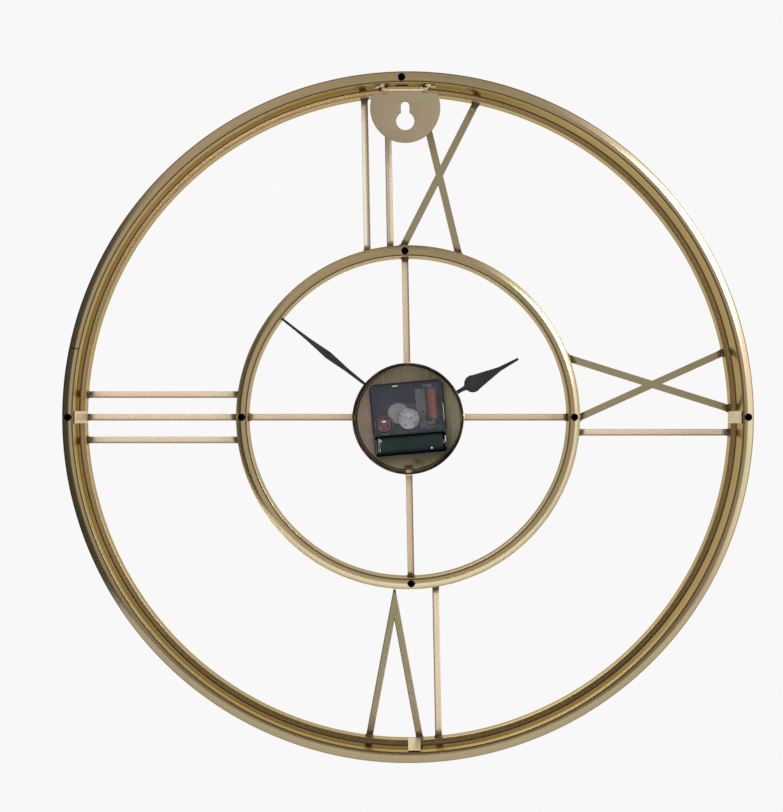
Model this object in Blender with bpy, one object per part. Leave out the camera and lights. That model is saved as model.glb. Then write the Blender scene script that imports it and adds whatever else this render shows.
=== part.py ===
"""Open-frame wall clock with Roman numerals, a quartz movement in a round cup, and a hinged keyhole hanger.

Metres, +Z up, +Y towards the wall, 3 o'clock towards +X. The origin is the point where the wall hook seats
in the hanger's keyhole, in the wall plane. Inside the script, a "depth" is a distance in front of the wall
plane (towards -Y), and the frame's pieces are drawn round the dial's centre.
"""

import bmesh
import bpy
from math import acos, asin, atan2, cos, pi, radians, sin, sqrt, tau
from mathutils import Vector

# ---------------------------------------------------------------- driving dimensions
OUTER_R = 0.2500            # both outer rings
BACK_RING_IN_R = 0.2415
FRONT_RING_IN_R = 0.2410
BACK_RING_DEPTH = 0.0190
FRONT_RING_BACK = 0.0375
FRAME_DEPTH = 0.0475        # depth of the front faces of the front ring and the inner ring

INNER_RING_R = 0.1277
INNER_RING_IN_R = 0.1192
INNER_RING_BACK = 0.0285

TUBE_WALL = 0.0010
CROWN_WIDTH = 0.0042        # how far the back faces' rounding reaches in from the outer edge
CROWN_DROP = 0.0024

BAR = 0.0050                # square bar of the numerals and the spokes
BAR_BACK = 0.0403
BAR_FRONT = BAR_BACK + BAR
WELD_GAP = 0.0003
SPOKE_INNER_END = 0.0392        # distance from the dial's centre
SPOKE_6_INNER_END = 0.0360
SPOKE_SHORT = 0.0015            # a spoke stops this far inside the inner ring's outer face
NOTCH_REACH = 0.0030
SPACER_WIDTH = 0.0090
SPACER_STRAP_T = 0.0010
STRAP_BACK = 0.0006
STRAP_BACK_BELOW_HANGER = 0.0120

CUP_R = 0.0413
CUP_RIM = 0.0280
CUP_FRONT = 0.0467
CUP_WALL = 0.0010
CUP_HOLE_R = 0.0052
CUP_STEPS = 48

UPRIGHT_LEAN = radians(0.58)    # the 12-6 members, turned about the dial's centre
LEVEL_LEAN = radians(-0.52)     # the 3-9 members

DRILL_HALF = 0.0060
ACCESS_HOLE_R = 0.0028
SCREW_HEAD_R = 0.0025
SCREW_HEAD_T = 0.0016
SCREW_HEAD_GAP = 0.0003
SCREW_SHANK_R = 0.0014
SCREW_HOLE_R = 0.0017

HOOK_ABOVE_CENTRE = 0.2251      # the hook's seat above the dial's centre
HINGE_Z = 0.2375
HINGE_DEPTH = 0.0030
PLATE_R = 0.0254
PLATE_CENTRE_Z = 0.2238
PLATE_TOP_Z = 0.2342
PLATE_THICK = 0.0012
KNUCKLE_R = 0.0020
KNUCKLE_BORE_R = 0.0012
KNUCKLE_HALF = 0.0123
WIRE_R = 0.0011
WIRE_HALF = 0.0168
WIRE_END_Z = 0.2404
KEY_HOLE_R = 0.0066
KEY_HOLE_Z = 0.2142
KEY_SLOT_HALF = 0.0031

MOVEMENT_FRONT = 0.0454         # depth of the movement's front face
MOVEMENT_SIZE = 0.0550
MOVEMENT_THICK = 0.0158
MOVEMENT_TURN = radians(4.5)
MOVEMENT_SIDE = -0.0006         # the hand shaft is fitted a little off the dial's centre
MOVEMENT_DROP = 0.0012
CUP_DROP = 0.0011
MINUTE_ANGLE = radians(51.2)    # clockwise from 12, seen from the front
HOUR_ANGLE = radians(-61.8)

RING_STEPS = 72
HOLE_STEPS = 12

# ---------------------------------------------------------------- movement layout, in its own frame
# x and z are measured from the hand shaft, heights from the case's front face towards the wall.
WALL_T = 0.0012
FLOOR_T = 0.0015
BATTERY_FLOOR_T = 0.0007
BULKHEAD_Z = -0.0102
COVER_T = 0.0014
PIVOT_R = 0.0004
PIVOT_HOLE_R = 0.00048
TRAIN_DISTANCE = 0.00875        # hand shaft to third wheel
MOTION_DISTANCE = 0.0095        # hand shaft to motion wheel, and motion wheel to knob
ROTOR_DISTANCE = 0.00453
SECONDS_DISTANCE = 0.00860      # sets the size of the seconds wheel's disc
TRAIN_DIRECTION = Vector((0.843, 0.537)).normalized()
MOTION_DIRECTION = Vector((0.985, -0.170)).normalized()
THIRD_AXIS = TRAIN_DIRECTION * TRAIN_DISTANCE
MOTION_AXIS = MOTION_DIRECTION * MOTION_DISTANCE
KNOB_AXIS = MOTION_DIRECTION * (2 * MOTION_DISTANCE)
ROTOR_AXIS = Vector((-0.0109, -0.0050))
ROTOR_DIRECTION = Vector((0.400, 0.917)).normalized()
INTERMEDIATE_AXIS = ROTOR_AXIS + ROTOR_DIRECTION * ROTOR_DISTANCE
COIL_X = -0.0183
COIL_Z = (-0.0023, 0.0221)
PLATE_HEIGHT = 0.0071           # the middle plate's front face
KNOB_R = 0.0056
BATTERY_Z = -0.0187
BATTERY_R = 0.00725
BATTERY_HALF = 0.02525
MINUTE_SHAFT_R = 0.00165
HOUR_PIPE_R = 0.0025
HOUR_PIPE_BORE_R = 0.00175
BUSH_R = 0.0038
BUSH_BORE_R = 0.0026
TOOTH_TIP = 0.75                # tooth sizes in modules, and half widths as shares of the tooth pitch
TOOTH_ROOT = 1.10
TOOTH_TIP_HALF = 0.12
TOOTH_ROOT_HALF = 0.28


# ---------------------------------------------------------------- scene, materials, small helpers
def clear_scene():
    for obj in list(bpy.data.objects):
        bpy.data.objects.remove(obj, do_unlink=True)


def material(name, color, metallic, roughness, alpha=1.0):
    made = bpy.data.materials.get(name) or bpy.data.materials.new(name)
    made.use_nodes = True
    shader = made.node_tree.nodes["Principled BSDF"]
    shader.inputs["Base Color"].default_value = (*color, 1.0)
    shader.inputs["Metallic"].default_value = metallic
    shader.inputs["Roughness"].default_value = roughness
    shader.inputs["Alpha"].default_value = alpha
    made.diffuse_color = (*color, alpha)
    return made


def pale_gold():
    return material("pale_gold_plate", (0.62, 0.50, 0.33), 1.0, 0.28)


def black_metal():
    return material("black_metal", (0.02, 0.02, 0.022), 0.3, 0.55)


def black_plastic():
    return material("black_plastic", (0.02, 0.025, 0.03), 0.0, 0.45)


def white_plastic():
    return material("white_plastic", (0.75, 0.74, 0.72), 0.0, 0.45)


def steel():
    return material("steel", (0.55, 0.55, 0.53), 1.0, 0.35)


def empty(name, parent=None, location=(0, 0, 0), rotation=(0, 0, 0)):
    made = bpy.data.objects.new(name, None)
    bpy.context.scene.collection.objects.link(made)
    made.parent = parent
    made.location = location
    made.rotation_euler = rotation
    return made


def add_object(name, builder, finish, parent, location=(0, 0, 0), rotation=(0, 0, 0)):
    """An object from a filled bmesh, with its faces turned outwards and its round stretches smooth."""
    mesh = bpy.data.meshes.new(name)
    bmesh.ops.recalc_face_normals(builder, faces=builder.faces)
    builder.to_mesh(mesh)
    builder.free()
    mesh.shade_smooth()
    mesh.set_sharp_from_angle(angle=radians(32))
    mesh.materials.append(finish)
    made = bpy.data.objects.new(name, mesh)
    bpy.context.scene.collection.objects.link(made)
    made.parent = parent
    made.location = location
    made.rotation_euler = rotation
    return made


def prism(outline, low, high):
    """The outline, a list of (x, z), as a closed solid from y = low to y = high."""
    builder = bmesh.new()
    near = [builder.verts.new((x, low, z)) for x, z in outline]
    far = [builder.verts.new((x, high, z)) for x, z in outline]
    builder.faces.new(near)
    builder.faces.new(far)
    for i in range(len(outline)):
        j = (i + 1) % len(outline)
        builder.faces.new((near[i], near[j], far[j], far[i]))
    return builder


def turned(profile, steps, closed=False):
    """The profile, a list of (radius, y), turned about Y. An open profile starts and ends on the axis."""
    builder = bmesh.new()
    rows = []
    for radius, y in profile:
        count = 1 if radius == 0 else steps
        angles = [tau * i / steps for i in range(count)]
        rows.append([builder.verts.new((radius * sin(a), y, radius * cos(a))) for a in angles])
    pairs = list(zip(rows, rows[1:]))
    if closed:
        pairs.append((rows[-1], rows[0]))
    for a, b in pairs:
        for i in range(steps):
            j = (i + 1) % steps
            corners = [a[i % len(a)], a[j % len(a)], b[j % len(b)], b[i % len(b)]]
            builder.faces.new(list(dict.fromkeys(corners)))
    return builder


def box(low, high):
    outline = [(low[0], low[2]), (high[0], low[2]), (high[0], high[2]), (low[0], high[2])]
    return prism(outline, low[1], high[1])


def circle(centre, radius, steps, start=0.0, sweep=tau):
    count = steps if sweep == tau else steps + 1
    angles = [start + sweep * i / steps for i in range(count)]
    return [(centre[0] + radius * sin(a), centre[1] + radius * cos(a)) for a in angles]


def rounded_rectangle(low, high, radius, steps=4):
    """An outline with round corners, as (x, z) points."""
    left, right = low[0] + radius, high[0] - radius
    bottom, top = low[1] + radius, high[1] - radius
    points = []
    for quarter, centre in enumerate(((right, top), (right, bottom), (left, bottom), (left, top))):
        points += circle(centre, radius, steps, quarter * pi / 2, pi / 2)
    return points


def cutter(name, builder, parent, location=(0, 0, 0), rotation=(0, 0, 0)):
    made = add_object(name, builder, steel(), parent, location, rotation)
    made.hide_render = True
    made.display_type = "WIRE"
    return made


def combine(target, other, operation, solver):
    modifier = target.modifiers.new(other.name, "BOOLEAN")
    modifier.operation = operation
    modifier.solver = solver
    modifier.object = other
    other.hide_render = True
    other.display_type = "WIRE"


def cut(target, name, builder, location=(0, 0, 0), rotation=(0, 0, 0), solver="EXACT"):
    helper = cutter(f"{target.name}_{name}_cutter", builder, target.parent, location, rotation)
    combine(target, helper, "DIFFERENCE", solver)


def fuse(target, name, builder, location=(0, 0, 0), rotation=(0, 0, 0), solver="EXACT"):
    helper = cutter(f"{target.name}_{name}_body", builder, target.parent, location, rotation)
    combine(target, helper, "UNION", solver)


def bearing(target, name, radius, low, high, axis):
    """A pivot's hole. The exact solver leaves open edges at this size, so this one uses the other."""
    hole = rod(radius, low, high)
    cut(target, f"{name}_bearing", hole, location=(axis[0], 0, axis[1]), solver="MANIFOLD")


def rod(radius, low, high, steps=HOLE_STEPS):
    return turned([(0, low), (radius, low), (radius, high), (0, high)], steps)


def toothed(teeth, distance, mate, phase, low, high):
    """A gear that meshes with one of `mate` teeth at this centre distance; a tooth points along `phase`."""
    module = 2 * distance / (teeth + mate)
    pitch_r = module * teeth / 2
    root_r = pitch_r - TOOTH_ROOT * module
    tip_r = pitch_r + TOOTH_TIP * module
    flank_up = ((-TOOTH_ROOT_HALF, root_r), (-TOOTH_TIP_HALF, tip_r))
    flank_down = ((TOOTH_TIP_HALF, tip_r), (TOOTH_ROOT_HALF, root_r))
    points = []
    for i in range(teeth):
        for share, radius in flank_up + flank_down:
            angle = phase + (i + share) * tau / teeth
            points.append((radius * sin(angle), radius * cos(angle)))
    return prism(points, low, high)


def heading(direction):
    """The angle of an (x, z) direction, clockwise from +Z as seen from the front."""
    return atan2(direction[0], direction[1])


def polar(radius, angle):
    return (radius * sin(angle), radius * cos(angle))


# ---------------------------------------------------------------- the frame's tubes
def tube_ring(name, inner_r, outer_r, back, front, parent, crowned):
    """A hollow ring of rectangular tube. A crowned ring's back face falls away towards its outer edge."""
    drop = CROWN_DROP if crowned else 0
    outer = [(inner_r, -back)]
    if crowned:
        outer += [(outer_r - CROWN_WIDTH, -back), (outer_r - CROWN_WIDTH * 0.35, -back - drop * 0.30)]
    outer += [(outer_r, -back - drop), (outer_r, -front), (inner_r, -front)]
    ring = add_object(name, turned(outer, RING_STEPS, closed=True), pale_gold(), parent)
    core_in, core_out = inner_r + TUBE_WALL, outer_r - TUBE_WALL
    core_back = back + TUBE_WALL + drop * 0.5
    core = [(core_in, -core_back), (core_out, -core_back - drop * 0.6)]
    core += [(core_out, -front + TUBE_WALL), (core_in, -front + TUBE_WALL)]
    cut(ring, "hollow", turned(core, RING_STEPS, closed=True))
    return ring


def member_angle(hour):
    """Where a 12, 3, 6 or 9 o'clock member sits, with its small lean."""
    lean = UPRIGHT_LEAN if hour in (12, 6) else LEVEL_LEAN
    return tau * hour / 12 + lean


def drill(target, name, radius, at_radius, angle, depth):
    """A hole along Y through whatever the target has within DRILL_HALF of the depth."""
    x, z = polar(at_radius, angle)
    hole = rod(radius, -depth - DRILL_HALF, -depth + DRILL_HALF)
    cut(target, name, hole, location=(x, 0, z))


def screw(name, head_back, length, at_radius, angle, parent):
    """A pan-head screw whose head's back face is at head_back, pointing to the front."""
    x, z = polar(at_radius, angle)
    profile = [(0, 0), (SCREW_HEAD_R * 0.8, 0), (SCREW_HEAD_R, -0.0005), (SCREW_HEAD_R, -SCREW_HEAD_T)]
    profile += [(SCREW_SHANK_R, -SCREW_HEAD_T), (SCREW_SHANK_R, -length), (0, -length)]
    add_object(name, turned(profile, HOLE_STEPS), black_metal(), parent, (x, -head_back, z))


def spacer(hour, strap_back, parent):
    """A block between the two outer rings, with a strap that laps over their inner walls."""
    strap_out = FRONT_RING_IN_R - WELD_GAP
    strap_in = strap_out - SPACER_STRAP_T
    strap_front = BAR_BACK - WELD_GAP
    block_out = OUTER_R - SPACER_STRAP_T
    block_back = BACK_RING_DEPTH + WELD_GAP
    block_front = FRONT_RING_BACK - WELD_GAP
    side = [(strap_in, -strap_back), (strap_out, -strap_back), (strap_out, -block_back)]
    side += [(block_out, -block_back), (block_out, -block_front), (strap_out, -block_front)]
    side += [(strap_out, -strap_front), (strap_in, -strap_front)]
    builder = bmesh.new()
    half = SPACER_WIDTH / 2
    left = [builder.verts.new((-half, y, r)) for r, y in side]
    right = [builder.verts.new((half, y, r)) for r, y in side]
    builder.faces.new(left)
    builder.faces.new(right)
    for i in range(len(side)):
        j = (i + 1) % len(side)
        builder.faces.new((left[i], left[j], right[j], right[i]))
    return add_object(f"spacer_{hour}", builder, pale_gold(), parent, rotation=(0, member_angle(hour), 0))


def build_outer_rings(parent):
    back = tube_ring("back_ring", BACK_RING_IN_R, OUTER_R, 0.0, BACK_RING_DEPTH, parent, True)
    front = tube_ring("front_ring", FRONT_RING_IN_R, OUTER_R, FRONT_RING_BACK, FRAME_DEPTH, parent, False)
    screw_r = (BACK_RING_IN_R + OUTER_R) / 2
    seat = BACK_RING_DEPTH - TUBE_WALL
    for hour in (12, 3, 6, 9):
        angle = member_angle(hour)
        block = spacer(hour, STRAP_BACK_BELOW_HANGER if hour == 12 else STRAP_BACK, parent)
        drill(front, f"vent_{hour}", SCREW_HOLE_R, screw_r, angle, FRONT_RING_BACK)
        if hour == 6:
            continue
        drill(back, f"access_{hour}", ACCESS_HOLE_R, screw_r, angle, TUBE_WALL)
        drill(back, f"screw_{hour}", SCREW_HOLE_R, screw_r, angle, seat + TUBE_WALL / 2)
        drill(block, "thread", SCREW_HOLE_R, screw_r, angle, BACK_RING_DEPTH + DRILL_HALF)
        screw(f"ring_screw_{hour}", seat - SCREW_HEAD_T - SCREW_HEAD_GAP, 0.0120, screw_r, angle, parent)


def build_inner_ring(parent):
    ring = tube_ring("inner_ring", INNER_RING_IN_R, INNER_RING_R, INNER_RING_BACK, FRAME_DEPTH, parent, True)
    screw_r = (INNER_RING_IN_R + INNER_RING_R) / 2
    for hour in (12, 3, 6, 9):
        angle = member_angle(hour)
        drill(ring, f"access_{hour}", ACCESS_HOLE_R, screw_r, angle, INNER_RING_BACK)
        half = BAR / 2 + WELD_GAP
        low = (-half, -BAR_FRONT - WELD_GAP, INNER_RING_IN_R - NOTCH_REACH)
        notch = box(low, (half, -BAR_BACK + WELD_GAP, INNER_RING_IN_R + NOTCH_REACH))
        cut(ring, f"notch_{hour}", notch, rotation=(0, angle, 0))
        inner_end = SPOKE_6_INNER_END if hour == 6 else SPOKE_INNER_END
        spoke_box = box((-BAR / 2, -BAR_FRONT, inner_end), (BAR / 2, -BAR_BACK, INNER_RING_R - SPOKE_SHORT))
        spoke = add_object(f"spoke_{hour}", spoke_box, pale_gold(), parent, rotation=(0, angle, 0))
        drill(spoke, "thread", SCREW_HOLE_R, screw_r, angle, BAR_FRONT)
        screw_back = BAR_BACK - SCREW_HEAD_T - SCREW_HEAD_GAP
        screw(f"inner_screw_{hour}", screw_back, 0.0062, screw_r, angle, parent)


# ---------------------------------------------------------------- numerals
def on_circle(point, direction, radius):
    """Where the line through point meets the circle, going along direction."""
    half_b = point.dot(direction)
    reach = -half_b + sqrt(half_b * half_b - point.length_squared + radius * radius)
    return point + direction * reach


def stroke_outline(inner, outer):
    """A bar along the line through two points, trimmed to the inner ring and the front ring."""
    inner, outer = Vector(inner), Vector(outer)
    along = (outer - inner).normalized()
    side = Vector((along.y, -along.x)) * (BAR / 2)
    start_r = INNER_RING_R + WELD_GAP
    end_r = FRONT_RING_IN_R - WELD_GAP
    corners = []
    for offset in (-side, side):
        edge = [on_circle(inner + offset, along, radius) for radius in (start_r, end_r)]
        corners += edge if offset is not side else reversed(edge)
    return [tuple(corner) for corner in corners]


def stroke(name, inner, outer, parent):
    bar = prism(stroke_outline(inner, outer), -BAR_FRONT, -BAR_BACK)
    return add_object(name, bar, pale_gold(), parent)


def crossed(name, first, second, parent):
    """An X of two bars, welded where they cross. The second is a hair thinner, so their faces differ."""
    bar = stroke(name, *first, parent)
    fuse(bar, "second", prism(stroke_outline(*second), -BAR_FRONT + 0.0001, -BAR_BACK - 0.0001))


def vee(name, apex, left_end, right_end, parent):
    """A V whose outer edges run from a narrow apex at the inner ring to the front ring."""
    tip_half = 0.0008
    sides = []
    for end, sign in ((left_end, -1), (right_end, 1)):
        start = Vector((apex[0] + sign * tip_half, apex[1]))
        along = (Vector(end) - start).normalized()
        inward = Vector((along.y, -along.x))
        if inward.x * sign > 0:
            inward = -inward
        outer_corner = on_circle(start, along, FRONT_RING_IN_R - WELD_GAP)
        inner_corner = on_circle(start + inward * BAR, along, FRONT_RING_IN_R - WELD_GAP)
        sides.append((start, outer_corner, inner_corner, start + inward * BAR, along))
    (s1, o1, i1, p1, d1), (s2, o2, i2, p2, d2) = sides
    gap = p2 - p1
    reach = (gap.x * d2.y - gap.y * d2.x) / (d1.x * d2.y - d1.y * d2.x)
    crotch = p1 + d1 * reach
    outline = [tuple(p) for p in (s1, o1, i1, crotch, i2, o2, s2)]
    add_object(name, prism(outline, -BAR_FRONT, -BAR_BACK), pale_gold(), parent)


def build_numerals(centre):
    upright = empty("upright_members", centre, rotation=(0, UPRIGHT_LEAN, 0))
    level = empty("level_members", centre, rotation=(0, LEVEL_LEAN, 0))
    for name, z in (("upper", 0.0170), ("middle", 0.0), ("lower", -0.0170)):
        stroke(f"numeral_3_{name}_bar", (0.090, z), (0.200, z), level)
    stroke("numeral_9_i", (-0.090, -0.0113), (-0.200, -0.0113), level)
    nine_x = ((-0.1259, 0.0426), (-0.2408, 0.0065)), ((-0.1319, 0.0013), (-0.2363, 0.0486))
    crossed("numeral_9_x", *nine_x, level)
    stroke("numeral_12_outer_i", (0.0281, 0.090), (0.0281, 0.200), upright)
    stroke("numeral_12_inner_i", (0.0108, 0.090), (0.0108, 0.200), upright)
    twelve_x = ((0.0017, 0.1270), (-0.0552, 0.2340)), ((-0.0404, 0.1210), (-0.0150, 0.2350))
    crossed("numeral_12_x", *twelve_x, upright)
    stroke("numeral_6_i", (-0.0183, -0.090), (-0.0183, -0.200), upright)
    vee("numeral_6_v", (0.0126, -0.1290), (-0.0066, -0.2400), (0.0360, -0.2380), upright)


# ---------------------------------------------------------------- cup, hanger
def build_cup(parent):
    inside = CUP_R - CUP_WALL
    lip = 0.0006
    place = empty("cup_centre", parent, (0, 0, -CUP_DROP))
    profile = [(CUP_HOLE_R, -CUP_FRONT), (CUP_R - CUP_WALL, -CUP_FRONT), (CUP_R, -CUP_FRONT + CUP_WALL)]
    profile += [(CUP_R, -CUP_RIM - lip), (CUP_R - CUP_WALL / 2, -CUP_RIM), (inside, -CUP_RIM - lip)]
    profile += [(inside, -CUP_FRONT + CUP_WALL), (CUP_HOLE_R, -CUP_FRONT + CUP_WALL)]
    cup = add_object("movement_cup", turned(profile, CUP_STEPS, closed=True), pale_gold(), place)
    half = BAR / 2 + WELD_GAP
    for hour in (12, 3, 6, 9):
        low = (-half, -BAR_FRONT - 0.0001, CUP_R - 0.0040)
        notch = box(low, (half, -BAR_BACK + WELD_GAP, CUP_R + 0.0040))
        cut(cup, f"notch_{hour}", notch, location=(0, 0, CUP_DROP), rotation=(0, member_angle(hour), 0))


def build_hanger(centre):
    """The keyhole plate, drawn round its hinge line, and the wire it swings on."""
    hinge = empty("hanger_hinge", centre, location=(0, -HINGE_DEPTH, HINGE_Z))
    half = PLATE_THICK / 2
    centre_z = PLATE_CENTRE_Z - HINGE_Z
    top_z = PLATE_TOP_Z - HINGE_Z
    chord = acos((PLATE_TOP_Z - PLATE_CENTRE_Z) / PLATE_R)
    outline = circle((0, centre_z), PLATE_R, 40, chord, tau - 2 * chord)
    tab_top = -KNUCKLE_R * 0.7
    outline += [(-KNUCKLE_HALF, top_z), (-KNUCKLE_HALF, tab_top)]
    outline += [(KNUCKLE_HALF, tab_top), (KNUCKLE_HALF, top_z)]
    plate = add_object("hanger_plate", prism(outline, -half, half), pale_gold(), hinge)
    along_x = (0, 0, pi / 2)
    fuse(plate, "knuckle", rod(KNUCKLE_R, -KNUCKLE_HALF, KNUCKLE_HALF), rotation=along_x)
    cut(plate, "bore", rod(KNUCKLE_BORE_R, -0.02, 0.02), rotation=along_x)
    hole_z = KEY_HOLE_Z - HINGE_Z
    slot_z = HOOK_ABOVE_CENTRE - HINGE_Z
    shoulder = asin(KEY_SLOT_HALF / KEY_HOLE_R)
    key = circle((0, hole_z), KEY_HOLE_R, 24, shoulder, tau - 2 * shoulder)
    key += circle((0, slot_z), KEY_SLOT_HALF, 8, -pi / 2, pi)
    cut(plate, "keyhole", prism(key, -0.005, 0.005))

    wire = bpy.data.curves.new("hanger_wire", "CURVE")
    wire.dimensions = "3D"
    wire.bevel_depth = WIRE_R
    wire.bevel_resolution = 2
    wire.use_fill_caps = True
    wire.resolution_u = 1
    bend = 0.0022
    leg = WIRE_END_Z - HINGE_Z
    corner = [(WIRE_HALF - bend + bend * sin(a), bend - bend * cos(a)) for a in (0, pi / 6, pi / 3, pi / 2)]
    right = corner + [(WIRE_HALF, leg)]
    points = [(-x, z) for x, z in reversed(right)] + right
    spline = wire.splines.new("POLY")
    spline.points.add(len(points) - 1)
    for point, (x, z) in zip(spline.points, points):
        point.co = (x, 0, z, 1)
    made = bpy.data.objects.new("hanger_wire", wire)
    wire.materials.append(pale_gold())
    bpy.context.scene.collection.objects.link(made)
    made.parent = hinge


# ---------------------------------------------------------------- movement: case, cover, plate, battery
def build_case(parent):
    half = MOVEMENT_SIZE / 2
    inside = half - WALL_T
    shell = prism(rounded_rectangle((-half, -half), (half, half), 0.0040), 0.0, MOVEMENT_THICK)
    case = add_object("movement_case", shell, black_plastic(), parent)
    gear_bay = rounded_rectangle((-inside, BULKHEAD_Z), (inside, inside), 0.0028)
    cut(case, "gear_bay", prism(gear_bay, FLOOR_T, MOVEMENT_THICK + 0.001))
    battery_bay = rounded_rectangle((-inside, -inside), (inside, BULKHEAD_Z - 0.0010), 0.0010, 1)
    cut(case, "battery_bay", prism(battery_bay, BATTERY_FLOOR_T, MOVEMENT_THICK + 0.001))
    seat_low = (-half - 0.001, MOVEMENT_THICK - COVER_T - WELD_GAP, BULKHEAD_Z - 0.0006)
    cut(case, "cover_seat", box(seat_low, (half + 0.001, 0.02, 0.03)))
    for i, (x, z) in enumerate(((0.0155, 0.0095), (-0.0045, 0.0098), (-0.0050, -0.0084))):
        pillar = rod(0.0010, FLOOR_T - 0.0005, PLATE_HEIGHT - WELD_GAP, 8)
        fuse(case, f"pillar_{i}", pillar, location=(x, 0, z))
    fuse(case, "bush", rod(BUSH_R, -0.0040, FLOOR_T + 0.0010, 24))
    cut(case, "bush_bore", rod(BUSH_BORE_R, -0.0100, 0.0050, 24))
    axes = (("motion", MOTION_AXIS), ("rotor", ROTOR_AXIS), ("intermediate", INTERMEDIATE_AXIS))
    for name, axis in axes:
        bearing(case, name, PIVOT_HOLE_R, 0.0008, 0.0025, axis)
    bearing(case, "knob", 0.0010, 0.0008, 0.0025, KNOB_AXIS)


def build_cover(parent):
    half = MOVEMENT_SIZE / 2
    low = MOVEMENT_THICK - COVER_T
    outline = rounded_rectangle((-half, BULKHEAD_Z - 0.0003), (half, half), 0.0040)
    finish = material("smoked_clear_plastic", (0.10, 0.12, 0.14), 0.0, 0.12, 0.45)
    cover = add_object("movement_cover", prism(outline, low, MOVEMENT_THICK), finish, parent)
    knob = (KNOB_AXIS[0], 0, KNOB_AXIS[1])
    cut(cover, "knob_hole", rod(KNOB_R + 0.0004, low - 0.001, MOVEMENT_THICK + 0.001, 32), location=knob)
    axes = {"third": THIRD_AXIS, "seconds": (0, 0), "rotor": ROTOR_AXIS, "intermediate": INTERMEDIATE_AXIS}
    for name, axis in axes.items():
        bearing(cover, name, PIVOT_HOLE_R, low - 0.0010, low + 0.0007, axis)


def build_middle_plate(parent):
    outline = rounded_rectangle((-0.0062, -0.0092), (0.0168, 0.0115), 0.0015, 2)
    high = PLATE_HEIGHT + 0.0008
    plate = add_object("middle_plate", prism(outline, PLATE_HEIGHT, high), black_plastic(), parent)
    for name, axis, radius in (
        ("centre", (0, 0), MINUTE_SHAFT_R + 0.0001),
        ("third", THIRD_AXIS, PIVOT_HOLE_R),
        ("motion", MOTION_AXIS, PIVOT_HOLE_R),
    ):
        bearing(plate, name, radius, PLATE_HEIGHT - 0.001, high + 0.001, axis)


def build_battery(parent):
    """An AA cell lying across the bay, and the contact plates at its ends."""
    jacket = material("battery_jacket", (0.015, 0.022, 0.025), 0.0, 0.35)
    middle = MOVEMENT_THICK - 0.0003 - BATTERY_R
    profile = [(0, -BATTERY_HALF), (BATTERY_R - 0.0006, -BATTERY_HALF), (BATTERY_R, -BATTERY_HALF + 0.0006)]
    profile += [(BATTERY_R, BATTERY_HALF - 0.0020), (BATTERY_R - 0.0008, BATTERY_HALF - 0.0012)]
    profile += [(0.0028, BATTERY_HALF - 0.0012), (0.0026, BATTERY_HALF), (0, BATTERY_HALF)]
    place = (0, middle, BATTERY_Z)
    add_object("battery_cell", turned(profile, 24), jacket, parent, place, (0, 0, pi / 2))
    contact_x = MOVEMENT_SIZE / 2 - WALL_T - 0.0005
    for name, side, width in (("contact_positive", -1, 0.0040), ("contact_negative", 1, 0.0050)):
        x = side * contact_x
        low = (x - 0.00015, BATTERY_FLOOR_T + 0.0004, BATTERY_Z - width)
        high = (x + 0.00015, MOVEMENT_THICK - 0.0010, BATTERY_Z + width)
        add_object(name, box(low, high), steel(), parent)


# ---------------------------------------------------------------- movement: coil, stator, board
def build_motor(parent):
    copper = material("copper_winding", (0.55, 0.18, 0.09), 0.7, 0.45)
    winding_r = 0.00385
    flange_r = 0.00430
    flange_t = 0.0010
    low, high = COIL_Z
    core_low, core_high = 0.0088, 0.0096
    height = (core_low + core_high) / 2
    profile = [(0, low), (flange_r, low), (flange_r, low + flange_t), (winding_r, low + flange_t)]
    profile += [(winding_r, high - flange_t), (flange_r, high - flange_t), (flange_r, high), (0, high)]
    along_z = (pi / 2, 0, 0)
    coil = add_object("coil", turned(profile, 24), copper, parent, (COIL_X, height, 0), along_z)
    slot_low = (COIL_X - 0.0014, core_low - WELD_GAP, low - 0.001)
    cut(coil, "core_slot", box(slot_low, (COIL_X + 0.0014, core_high + WELD_GAP, high + 0.001)))

    eye_r = 0.0036
    foot_z = ROTOR_AXIS.y
    arm_in = -0.0122
    core_half = 0.0011
    outer, inner = COIL_X - core_half, COIL_X + core_half
    top, arm_top, arm_bottom, bottom = 0.0246, 0.0226, -0.0030, -0.0054
    outline = [(outer, bottom), (outer, top), (arm_in, top), (arm_in, arm_top)]
    outline += [(inner, arm_top), (inner, arm_bottom), (arm_in, arm_bottom), (arm_in, bottom)]
    stator = add_object("stator", prism(outline, core_low, core_high), steel(), parent)
    eye = prism(circle((ROTOR_AXIS.x, foot_z), eye_r, 24), core_low - 0.0001, core_high + 0.0001)
    fuse(stator, "eye", eye)
    cut(stator, "rotor_hole", rod(0.0029, 0.0050, 0.0150, 24), location=(ROTOR_AXIS.x, 0, foot_z))

    board_finish = material("circuit_board", (0.03, 0.10, 0.06), 0.0, 0.4)
    board = box((-0.0244, 0.0060, -0.0092), (-0.0076, 0.0070, -0.0058))
    add_object("circuit_board", board, board_finish, parent)
    can = rod(0.0010, -0.0030, 0.0030)
    add_object("quartz_can", can, steel(), parent, (-0.0175, 0.0083, -0.0075), (0, 0, pi / 2))


# ---------------------------------------------------------------- movement: wheels
def arbor(name, profile, finish, parent, axis, steps=HOLE_STEPS):
    return add_object(name, turned(profile, steps), finish, parent, (axis[0], 0, axis[1]))


def spindle(bottom, shoulder, upper_shoulder, top, radius):
    """A turned arbor with a thin pivot at each end."""
    return [
        (0, bottom), (PIVOT_R, bottom), (PIVOT_R, shoulder), (radius, shoulder),
        (radius, upper_shoulder), (PIVOT_R, upper_shoulder), (PIVOT_R, top), (0, top),
    ]


def gear(wheel, name, teeth, distance, mate, phase, low, high):
    """A toothed disc welded to the wheel's arbor, at the wheel's own place."""
    fuse(wheel, name, toothed(teeth, distance, mate, phase, low, high), location=wheel.location)


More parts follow.
